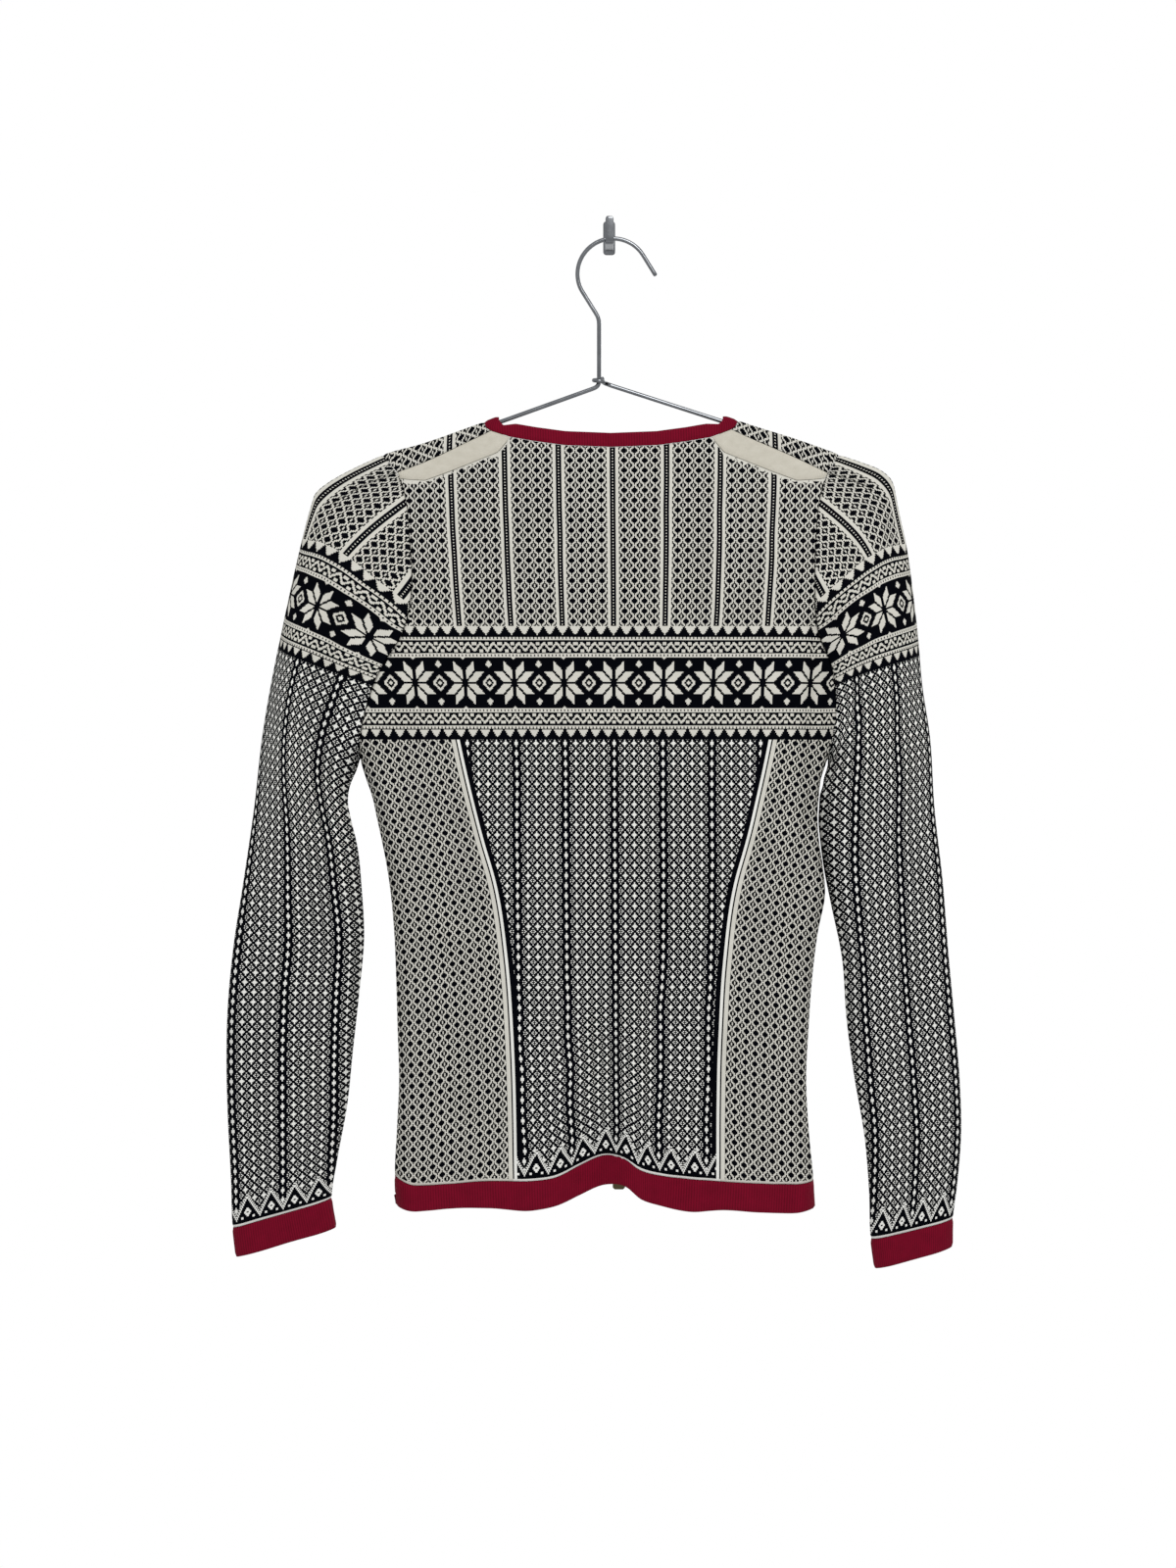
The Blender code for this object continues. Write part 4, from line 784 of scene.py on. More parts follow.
@dataclass
class Trunk:
    """Back panel, the two front panels, shoulder insets, neckband and hem bands."""

    finishes: Finishes
    rows: int = 206
    columns: int = 150
    front_columns: int = 84
    seam: float = 0.7
    row_step: float = 2.6
    # By drop and by place across, how far the neckband moves straight across and keeps its drop
    kept_by_drop: tuple[tuple[float, float], ...] = ((4.0, 1.0), (9.0, 0.0))
    kept_by_place: tuple[tuple[float, float], ...] = ((76.0, 0.0), (84.0, 1.0))
    # By place across, the height that its direction points to, and how much flatter it runs in front
    band_centre: tuple[tuple[float, float], ...] = ((0.0, -90.0), (60.0, -118.0), (95.0, -140.0))
    front_flatter: tuple[tuple[float, float], ...] = ((15.0, 0.0), (75.0, 0.35))
    # Lean of the neckband's direction on the back, in degrees, by place across
    band_lean: tuple[tuple[float, float], ...] = ((0, 0), (40, 5), (60, 11), (73, 20), (80, 38), (86, 60), (92, 85))
    # Drops of a front's rows behind the shoulder fold, and the drop at the neck by that at the armhole
    behind_fold: tuple[float, ...] = (4.0, 5.4, 7.0, 9.0, 11.4, 13.8, SEAM_DROP_AT_ARMHOLE)
    neck_drops: tuple[tuple[float, float], ...] = (
        (0.0, 0.0), (6.0, 6.0), (9.0, 6.4), (SEAM_DROP_AT_ARMHOLE, SEAM_DROP_AT_NECK),
    )
    # A point this near a corner of the neckline counts as on it
    corner_reach: float = 0.6
    back_flat: tuple[float, float] = (0.372, 0.542)
    front_flat: tuple[float, float] = (0.186, 0.562)

    def back_grid(self) -> np.ndarray:
        """Places of the back panel's points, hem to top edge."""
        sides = []
        v = crowded(self.rows, 0.3)
        for hand in (LEFT, RIGHT):
            low = float(hem_z(DRAPE.trunk_x(hand, HEM_LEVEL), BACK, 1))
            corner = DRAPE.armhole_z(hand, SEAM_DROP_AT_ARMHOLE + INSET_TIP + SEAM_GAP)
            sides.append(trunk_edge(hand, low + v * (corner - low)))
        left, right = sides
        u = crowded(self.columns, 0.55)
        x = left[0, 0] + u * (right[0, 0] - left[0, 0])
        for corner_x in (-INSET_NECK_X, INSET_NECK_X):
            x[np.abs(x - corner_x).argmin()] = corner_x
        bottom = np.column_stack([x, hem_z(x, BACK, 1)])
        knots = (x[0], -INSET_NECK_X, INSET_NECK_X, x[-1])
        top_x = np.interp(x, knots, (left[-1, 0], -INSET_NECK_X, INSET_NECK_X, right[-1, 0]))
        top = np.column_stack([top_x, steps(BACK_TOP_ROWS, np.abs(top_x))])
        top[0], top[-1] = left[-1], right[-1]
        return patch(left, right, bottom, top, u, v)

    def front_grid(self, hand: int) -> tuple[np.ndarray, np.ndarray, int]:
        """Places and sides of a front panel: hem to shoulder, over the fold, to the seam.

        Args:
            hand: LEFT or RIGHT.

        Returns:
            The places, the side of each row, and the row where the neckline starts.
        """
        edge = PANEL_TO_ZIP * hand
        hem_x = float(DRAPE.trunk_x(hand, HEM_LEVEL))
        knots = [float(hem_z(hem_x, FRONT, 1)), *TRUNK_ROW_Z, *ARMHOLE_ROW_Z]
        knots += [DRAPE.armhole_z(hand, d) for d in (SEAM_DROP_AT_ARMHOLE, FOLD_DROPS[0], FOLD_DROPS[1])]
        zip_z = [float(hem_z(ZIP_X_BOTTOM + edge, FRONT, 1))]
        share = (np.array(TRUNK_ROW_Z) - zip_z[0]) / (UNDERARM_Z - zip_z[0])
        zip_z += [*(zip_z[0] + share * (FRONT_INNER_Z[0] - zip_z[0])), *FRONT_INNER_Z]
        inner = [(float(zip_x(z)) + edge, z) for z in zip_z] + [(hand * x, z) for x, z in FRONT_NECK_ROWS]
        neck_x = hand * float(steps(NECK_FOLD_ROWS, FOLD_DROPS[1]))
        inner.append((neck_x, float(DRAPE.below(neck_x, FOLD_DROPS[1]))))
        inner = np.array(inner)
        first = len(zip_z)
        lengths = np.maximum(np.abs(np.diff(knots)), np.linalg.norm(np.diff(inner, axis=0), axis=1))
        counts = np.maximum(np.round(lengths / self.row_step), 2).astype(int)
        at = [np.linspace(i, i + 1, n, endpoint=False) for i, n in enumerate(counts)]
        at = np.concatenate([*at, [len(knots) - 1.0]])
        start = int(counts[:first].sum())
        places = np.arange(len(knots))
        outer = trunk_edge(hand, np.interp(at, places, knots))
        neck = np.column_stack([smooth(places[first:], inner[first:, i], at) for i in (0, 1)])
        line = np.column_stack([np.interp(at, places, inner[:, i]) for i in (0, 1)])
        line = np.where((at >= first)[:, None], neck, line)
        u = crowded(self.front_columns, 0.5)
        bottom_x = outer[0, 0] + u * (line[0, 0] - outer[0, 0])
        bottom = np.column_stack([bottom_x, hem_z(bottom_x, FRONT, 1)])
        top_x = outer[-1, 0] + u * (line[-1, 0] - outer[-1, 0])
        top = np.column_stack([top_x, DRAPE.below(top_x, FOLD_DROPS[1])])
        v = (outer[:, 1] - outer[0, 1]) / (outer[-1, 1] - outer[0, 1])
        grid = [patch(outer, line, bottom, top, u, v)]
        sides = [FRONT] * len(outer)
        over = (0.08, 0.3, 0.7, 1.3, 2.1, 3.0)
        fold = [(d, FRONT) for d in over[::-1]] + [(d, BACK) for d in (0.0, *over, *self.behind_fold)]
        for drop, side in fold:
            neck_drop = float(steps(self.neck_drops, drop))
            arm_x = float(DRAPE.armhole_x(hand, DRAPE.armhole_z(hand, drop)))
            end_x = hand * float(steps(NECK_FOLD_ROWS, neck_drop))
            x = arm_x + u * (end_x - arm_x)
            grid.append(np.column_stack([x, DRAPE.below(x, drop + u * (neck_drop - drop))])[None])
            sides.append(side)
        return np.concatenate(grid), np.array(sides), start

    def side_edge(self, grid: np.ndarray, columns: Sequence[int]) -> np.ndarray:
        """True for the points of the named columns that lie below the underarm."""
        found = np.zeros(grid.shape[:2], bool)
        found[:, columns] = grid[:, columns, 1] < UNDERARM_Z
        return found

    def sheet_points(self, grid: np.ndarray, sides: Union[int, np.ndarray], edge: np.ndarray) -> np.ndarray:
        """Points of a panel in space, with half of the side seam's gap left along its edge."""
        least = np.where(edge, HALF_SIDE_GAP, 0.0)
        return DRAPE.points(grid[..., 0], grid[..., 1], "trunk", sides, least, edge)

    def build(self) -> None:
        """Makes and dresses every piece of the trunk."""
        back = self.back_grid()
        outer = self.sheet_points(back, BACK, self.side_edge(back, (0, -1)))
        piece = cloth("back_knit", outer, trunk_maps(back, BACK, outer), seam=self.seam)
        dress(piece, self.finishes.jacquard, nodes=["back"])
        0.90 * self.back_flat[0] * self.back_flat[1]
        fronts = {}
        for hand, word in WORDS.items():
            grid, sides, start = self.front_grid(hand)
            edge = self.side_edge(grid, (0,)) & (sides == FRONT)[:, None]
            outer = self.sheet_points(grid, sides[:, None], edge)
            run_on = grid.copy()
            over = (sides == BACK)[:, None]
            run_on[..., 1] = np.where(over, 2 * DRAPE.shoulder_z(grid[..., 0]) - grid[..., 1], grid[..., 1])
            name = f"front_{word}"
            piece = cloth(f"{name}_knit", outer, trunk_maps(run_on, FRONT, outer), seam=self.seam)
            dress(piece, self.finishes.jacquard, nodes=[name])
            0.84 * self.front_flat[0] * self.front_flat[1]
            fronts[hand] = (grid, sides, start)
        self.insets(back, fronts)
        self.neckband(back, fronts)
        self.hems(back, fronts)

    def insets(self, back: np.ndarray, fronts: dict) -> None:
        """The plain wedge between each front's shoulder seam and the back panel.

        Args:
            back: places of the back panel.
            fronts: for each hand a front's places, its rows' sides and its neckline's first row.
        """
        top = back[-1]
        for hand, word in WORDS.items():
            lower = top[(np.abs(top[:, 0]) >= INSET_NECK_X - self.corner_reach) & (top[:, 0] * hand > 0)]
            lower = lower[np.argsort(-np.abs(lower[:, 0]))]
            shares = np.linspace(0, 1, 96)
            low, high = resampled(lower, shares), resampled(fronts[hand][0][-1], shares)
            low, high = line_gap(low, high), line_gap(high, low)
            t = crowded(13, 0.5)[:, None, None]
            grid = low[None] * (1 - t) + high[None] * t
            outer = DRAPE.points(grid[..., 0], grid[..., 1], "trunk", BACK)
            name = f"shoulder_inset_{word}"
            piece = cloth(f"{name}_knit", outer, flat_maps(grid), seam=self.seam)
            dress(piece, self.finishes.plain, nodes=[name])

    def neckband(self, back: np.ndarray, fronts: dict) -> None:
        """The neckband: the neck edge moved inwards by its width, square to the edge.

        On the back the direction leans from upright towards the middle by an angle that grows
        to the side. Where the edge crosses the shoulder fold, it moves straight across instead
        and keeps its drop below the fold, and the two rules mix in between.

        Args:
            back: places of the back panel.
            fronts: for each hand a front's places, its rows' sides and its neckline's first row.
        """
        halves = []
        for hand in (LEFT, RIGHT):
            grid, sides, start = fronts[hand]
            halves.append((grid[start:, -1], sides[start:]))
        top = back[-1]
        middle = top[np.abs(top[:, 0]) <= INSET_NECK_X + self.corner_reach]
        places = np.concatenate([halves[0][0], middle, halves[1][0][::-1]])
        sides = np.concatenate([halves[0][1], np.full(len(middle), BACK), halves[1][1][::-1]])
        drop = DRAPE.drop(places[:, 0], places[:, 1])
        hand, out = np.sign(places[:, 0]), np.abs(places[:, 0])
        kept_share = steps(self.kept_by_drop, drop) * steps(self.kept_by_place, out)
        away = np.column_stack([np.zeros(len(places)), steps(self.band_centre, out)]) - places
        away[:, 1] *= 1 - np.where(sides == FRONT, steps(self.front_flatter, out), 0.0)
        away /= np.linalg.norm(away, axis=1, keepdims=True)
        lean = np.radians(steps(self.band_lean, out))
        leaning = np.column_stack([-hand * np.sin(lean), np.cos(lean)])
        away = np.where((sides == BACK)[:, None], leaning, away)
        rows = []
        for share in crowded(15, 0.4):
            width = SEAM_GAP + share * (BAND_WIDTH - SEAM_GAP)
            along = places[:, 0] - hand * width
            kept = np.column_stack([along, DRAPE.below(along, drop)])
            rows.append(kept * kept_share[:, None] + (places + away * width) * (1 - kept_share[:, None]))
        grid = np.array(rows)
        outer = DRAPE.points(grid[..., 0], grid[..., 1], "trunk", sides[None, :])
        piece = self.rib_strip("neckband_rib", outer)
        dress(piece, self.finishes.rib, nodes=["neckband"])

    def rib_strip(self, name: str, outer: np.ndarray) -> bpy.types.Object:
        """A strip of rib, which stands a little proud of the plain knit."""
        return cloth(name, outer, flat_maps(outer), lift=RIB_LIFT, seam=self.seam, thickness=WALL + RIB_LIFT)

    def hems(self, back: np.ndarray, fronts: dict) -> None:
        """The hem bands below the back and below each front.

        Args:
            back: places of the back panel.
            fronts: for each hand a front's places, its rows' sides and its neckline's first row.
        """
        jobs = [("hem_back", back[0], BACK)]
        jobs += [(f"hem_front_{word}", fronts[hand][0][0], FRONT) for hand, word in WORDS.items()]
        for name, upper, side in jobs:
            edge_x = upper[:, 0].copy()
            at_side = np.zeros(len(upper), bool)
            for hand in (LEFT, RIGHT):
                here = np.abs(edge_x - DRAPE.trunk_x(hand, HEM_LEVEL)) < 0.5 * self.corner_reach
                edge_x[here] = DRAPE.trunk_x(hand, HEM_FOOT)
                at_side |= here
            lower = np.column_stack([edge_x, hem_z(upper[:, 0], side, 2)])
            start = line_gap(upper, lower)
            t = crowded(19, 0.3)[:, None, None]
            grid = start[None] * (1 - t) + lower[None] * t
            outer = self.sheet_points(grid, side, np.broadcast_to(at_side, grid.shape[:2]))
            piece = self.rib_strip(f"{name}_rib", outer)
            dress(piece, self.finishes.rib, nodes=[name])
            0.326 if side == BACK else 0.158


def zip_x(z: np.ndarray) -> np.ndarray:
    """The zip's place across at a height."""
    return np.interp(z, (ZIP_BOTTOM_Z, ZIP_TOP_Z), (ZIP_X_BOTTOM, ZIP_X_TOP))


@dataclass
class Sleeve:
    """One sleeve, a tube from the armhole to the cuff, and the cuff's band below it."""

    hand: int
    finishes: Finishes
    row_step: float = 2.7
    ring_steps: int = 56
    seam: float = 0.7
    flat: tuple[float, float] = (0.232, 0.600)
    cuff_flat: tuple[float, float] = (0.156, 0.0225)
    band_middle: float = 132.0
    around_scale: float = 1.0245
    fold_shift: float = 5.0
    cuff_length: float = 22.0
    # Armhole: arc from the shoulder, cloth around from the outer fold, cloth along the sleeve
    armhole_chart: tuple[tuple[float, float, float], ...] = (
        (0.0, 0.0, 0.0), (33.0, 39.0, 33.0), (84.0, 78.0, 66.0),
        (120.0, 92.0, 100.0), (178.0, 104.0, 183.0), (222.0, 112.0, 230.0),
    )
    # Cloth from the outer fold to the underarm seam, at each section down to the cuff's edge
    inner_around: tuple[float, ...] = (
        112.0, 112.0, 111.0, 111.0, 110.0, 110.0, 109.0, 108.0, 107.0, 106.0,
        104.0, 102.0, 100.0, 98.0, 95.0, 91.0, 86.0, 82.0, 81.0,
    )

    def ring(self) -> tuple[np.ndarray, np.ndarray, np.ndarray]:
        """The armhole ring: up the back, over the shoulder and down the front.

        Returns:
            The places, the sides, and each point's share of the way from the underarm to the
            shoulder on the lower sleeve.
        """
        drops = [SEAM_DROP_AT_ARMHOLE + INSET_TIP + SEAM_GAP, SEAM_DROP_AT_ARMHOLE, *FOLD_DROPS, 0.0]
        knots = [*ARMHOLE_ROW_Z, *(DRAPE.armhole_z(self.hand, d) for d in drops)]
        at = np.linspace(0, len(knots) - 1, self.ring_steps + 1)
        z = smooth(range(len(knots)), knots, at)
        low = smooth(range(len(knots)), LOWER_SPACING, at)
        z, low = np.append(z, z[-2:0:-1]), np.append(low, low[-2:0:-1])
        side = np.array([BACK] * len(at) + [FRONT] * (len(z) - len(at)))
        return np.column_stack([DRAPE.armhole_x(self.hand, z), z]), side, low

    def section_line(self) -> np.ndarray:
        """Section numbers down to the cuff whose steps along the sleeve are about row_step."""
        rows = DRAPE.sleeve_rows(self.hand)
        run = np.maximum(run_length(rows[:, :2]), run_length(rows[:, 2:]))
        count = int(round(run[CUFF_TOP] / self.row_step))
        return np.interp(np.linspace(0.0, run[CUFF_TOP], count), run, range(len(rows)))

    def grid(self, at: np.ndarray) -> tuple[np.ndarray, np.ndarray, np.ndarray]:
        """Places, sides and cloth coordinates of the tube's points.

        A section runs straight from its inner to its outer edge. Near the armhole it keeps a
        share of the armhole's own curve, and it bows out by 4 s (1 - s) of its bow. The cloth
        coordinates are mixed by the same shares.

        Args:
            at: section numbers, whole at the rows of the table.

        Returns:
            Places of rows by columns, the side of each column, and the cloth coordinates
            with one more column.
        """
        rows = DRAPE.sleeve_rows(self.hand)
        ring, side, low = self.ring()
        knots = np.arange(len(rows))
        outer_x, outer_z, inner_x, inner_z = (smooth(knots, rows[:, i], at) for i in range(4))
        edge_x, edge_z = DRAPE.sleeve_edge(self.hand, True)
        outer_x = np.where(at >= SHOULDER_SECTIONS, smooth(edge_z, edge_x, outer_z), outer_x)
        edge_x, edge_z = DRAPE.sleeve_edge(self.hand, False)
        inner_x = smooth(edge_z, edge_x, inner_z)
        turned, kept, bow = (
            smooth(knots, [*values, *[rest] * (len(rows) - len(values))], at)[:, None]
            for values, rest in ((SPACING_TURNED, 1.0), (ARMHOLE_CURVE_KEPT, 0.0), (SECTION_BOW, 0.0))
        )
        inner, axis = rows[0, 2:], rows[0, :2] - rows[0, 2:]
        up = ((ring - inner) @ axis) / (axis @ axis)
        bent = ring - (inner + up[:, None] * axis)
        share = up + (low - up) * np.clip(turned, 0, 1)
        o, n = np.stack([outer_x, outer_z], -1)[:, None], np.stack([inner_x, inner_z], -1)[:, None]
        places = n + share[..., None] * (o - n) + kept[..., None] * bent
        places[..., 0] += self.hand * 4 * bow * share * (1 - share)
        return places, side, self.chart(at, up, share, kept, ring)

    def chart(
        self, at: np.ndarray, up: np.ndarray, share: np.ndarray, kept: np.ndarray, ring: np.ndarray
    ) -> np.ndarray:
        """Cloth coordinates of the tube: around from the outer fold, along from the shoulder.

        Args:
            at: section numbers.
            up: share of the way up the armhole at each column.
            share: share of the way from a section's inner to its outer edge at each point.
            kept: how much of the armhole's own curve each section keeps.
            ring: places of the armhole's points.

        Returns:
            The coordinates, with one more column that closes the tube.
        """
        rows = DRAPE.sleeve_rows(self.hand)
        half = self.ring_steps + 1
        arc = run_length(ring[:half][::-1])[::-1]
        arc = np.append(arc, arc[-2:0:-1])
        table = self.armhole_chart
        start = np.column_stack([steps(table, arc * table[-1][0] / arc[0], i) for i in (1, 2)])
        outer_run, inner_run = run_length(rows[:, :2]), run_length(rows[:, 2:])
        top = table[-1][2]
        inner_along = top + (outer_run[CUFF_TOP] - top) * inner_run / inner_run[CUFF_TOP]
        knots = np.arange(len(rows))
        o = np.stack([np.zeros(len(at)), smooth(knots, outer_run, at)], -1)[:, None]
        n = np.stack([smooth(knots, self.inner_around, at), smooth(knots, inner_along, at)], -1)[:, None]
        line = np.array((self.inner_around[0], top)) * (1 - up[:, None])
        value = n + share[..., None] * (o - n) + kept[..., None] * (start - line)
        value[:, half:, 0] *= -1
        closing = value[:, :1] * np.array((-1.0, 1.0))
        value = np.concatenate([value, closing], 1)
        value[..., 0] = -self.hand * (self.around_scale * value[..., 0] - self.fold_shift)
        self.cuff_along = float(outer_run[CUFF_TOP])
        return value

    def build(self) -> None:
        """Makes and dresses the sleeve and its cuff."""
        word = WORDS[self.hand]
        for name, at, finish, slot in (
            (f"sleeve_{word}", self.section_line(), self.finishes.jacquard, "knit"),
            (f"cuff_{word}", np.linspace(CUFF_TOP, CUFF_FOOT, 19), self.finishes.rib, "trim"),
        ):
            places, side, chart = self.grid(at)
            cuff = slot == "trim"
            if cuff:
                places[0] = line_gap(places[0], places[-1])
            else:
                places[0, :, 0] += self.hand * SEAM_GAP
            on_edge = np.zeros(places.shape[:2], bool)
            on_edge[:, 0] = on_edge[:, self.ring_steps] = True
            outer = DRAPE.points(places[..., 0], places[..., 1], self.hand, side[None, :], 0.0, on_edge)
            around, along = chart[..., 0], chart[..., 1]
            above_cuff = self.cuff_along - along
            if cuff:
                maps = chart_maps(around, -above_cuff, around, np.full(along.shape, self.cuff_length))
            else:
                above_band = self.band_middle - along
                maps = chart_maps(around, above_band, np.where(above_band > 0, FAR, -FAR), above_cuff)
            kind, lift = ("rib", RIB_LIFT) if cuff else ("knit", 0.0)
            piece = cloth(f"{name}_{kind}", outer, maps, True, WALL + lift, lift, self.seam)
            dress(piece, finish, nodes=[name])
            if cuff:
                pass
            else:
                0.80 * self.flat[0] * self.flat[1]


def tube(name: str, path: np.ndarray, radius: Union[float, np.ndarray], sides: int = 16) -> bpy.types.Object:
    """A round wire: circles carried along a path, with a small dome on each end.

    A circle lies in the plane across the path's direction. It is a mix of two unit vectors
    there by the cosine and the sine of its angle, times the radius, which shrinks as a quarter
    circle over the ends. The first vector is the path's sideways vector with its part along
    the path taken out, carried on from point to point.

    Args:
        name: the object's name.
        path: points of the centre line, millimetres.
        radius: of the wire, one for all points or one for each.
        sides: of each circle.

    Returns:
        The wire.
    """
    step = np.diff(path, axis=0)
    step /= np.linalg.norm(step, axis=1, keepdims=True)
    tangent = np.concatenate([step[:1], step[:-1] + step[1:], step[-1:]])
    tangent /= np.linalg.norm(tangent, axis=1, keepdims=True)
    across = np.empty_like(tangent)
    last = np.array([0.0, 1.0, 0.0])
    for i, along in enumerate(tangent):
        last = last - along * (last @ along)
        last = last / np.linalg.norm(last)
        across[i] = last
    radius = np.broadcast_to(np.asarray(radius, float), len(path))
    dome = np.radians([1.0, 25.0, 50.0, 70.0])
    ends = [path[i] + sign * tangent[i] * radius[i] * np.cos(dome)[:, None] * 0.6 for i, sign in ((0, -1), (-1, 1))]
    centre = np.concatenate([ends[0], path, ends[1][::-1]])
    tangent, across = (np.concatenate([line[:1]] * 4 + [line] + [line[-1:]] * 4) for line in (tangent, across))
    radius = np.concatenate([radius[0] * np.sin(dome), radius, radius[-1] * np.sin(dome)[::-1]])
    angle = 2 * math.pi * np.arange(sides) / sides
    upward = np.cross(tangent, across)
    ring = np.cos(angle)[None, :, None] * across[:, None] + np.sin(angle)[None, :, None] * upward[:, None]
    grid = centre[:, None] + radius[:, None, None] * ring
    points, faces = grid.reshape(-1, 3), closed_rings(len(grid), sides)
    run = run_length(centre)
    uv = np.stack(np.broadcast_arrays(run[:, None], angle[None] * radius.max()), -1).reshape(-1, 2)
    if volume(points, faces) < 0:
        faces = faces[:, ::-1]
    return new_mesh(name, points, faces, {"length": uv})


def arc(centre: tuple[float, float], radius: float, start: float, end: float, count: int) -> np.ndarray:
    """Points of an arc in the plane, with its angles in degrees."""
    angles = np.radians(np.linspace(start, end, count))
    return np.column_stack([centre[0] + radius * np.cos(angles), centre[1] + radius * np.sin(angles)])


def loft(name: str, profile: np.ndarray, stations: np.ndarray) -> bpy.types.Object:
    """A closed profile carried through stations, each with its own size and place.

    A point is the station's centre plus the profile's two coordinates times the station's two
    sizes, along its two directions.

    Args:
        name: the object's name.
        profile: points of the closed outline, an even number of them.
        stations: rows of centre (3), first direction with its size (3), second (3).

    Returns:
        The solid, with its two ends closed.
    """
    centre, first, second = stations[:, None, :3], stations[:, None, 3:6], stations[:, None, 6:]
    grid = centre + profile[None, :, :1] * first + profile[None, :, 1:] * second
    points, faces = grid.reshape(-1, 3), closed_rings(len(grid), len(profile))
    if volume(points, faces) < 0:
        faces = faces[:, ::-1]
    return new_mesh(name, points, faces)


def rounded(half_width: float, half_height: float, corner: float, steps: int = 5) -> np.ndarray:
    """A rectangle with quarter-circle corners, as points in turn."""
    turns = np.radians(np.linspace(0, 90, steps))
    parts = []
    for quarter, (sx, sy) in enumerate(((1, 1), (-1, 1), (-1, -1), (1, -1))):
        angle = turns + quarter * math.pi / 2
        centre = (sx * (half_width - corner), sy * (half_height - corner))
        parts.append(np.column_stack([np.cos(angle), np.sin(angle)]) * corner + centre)
    return np.concatenate(parts)


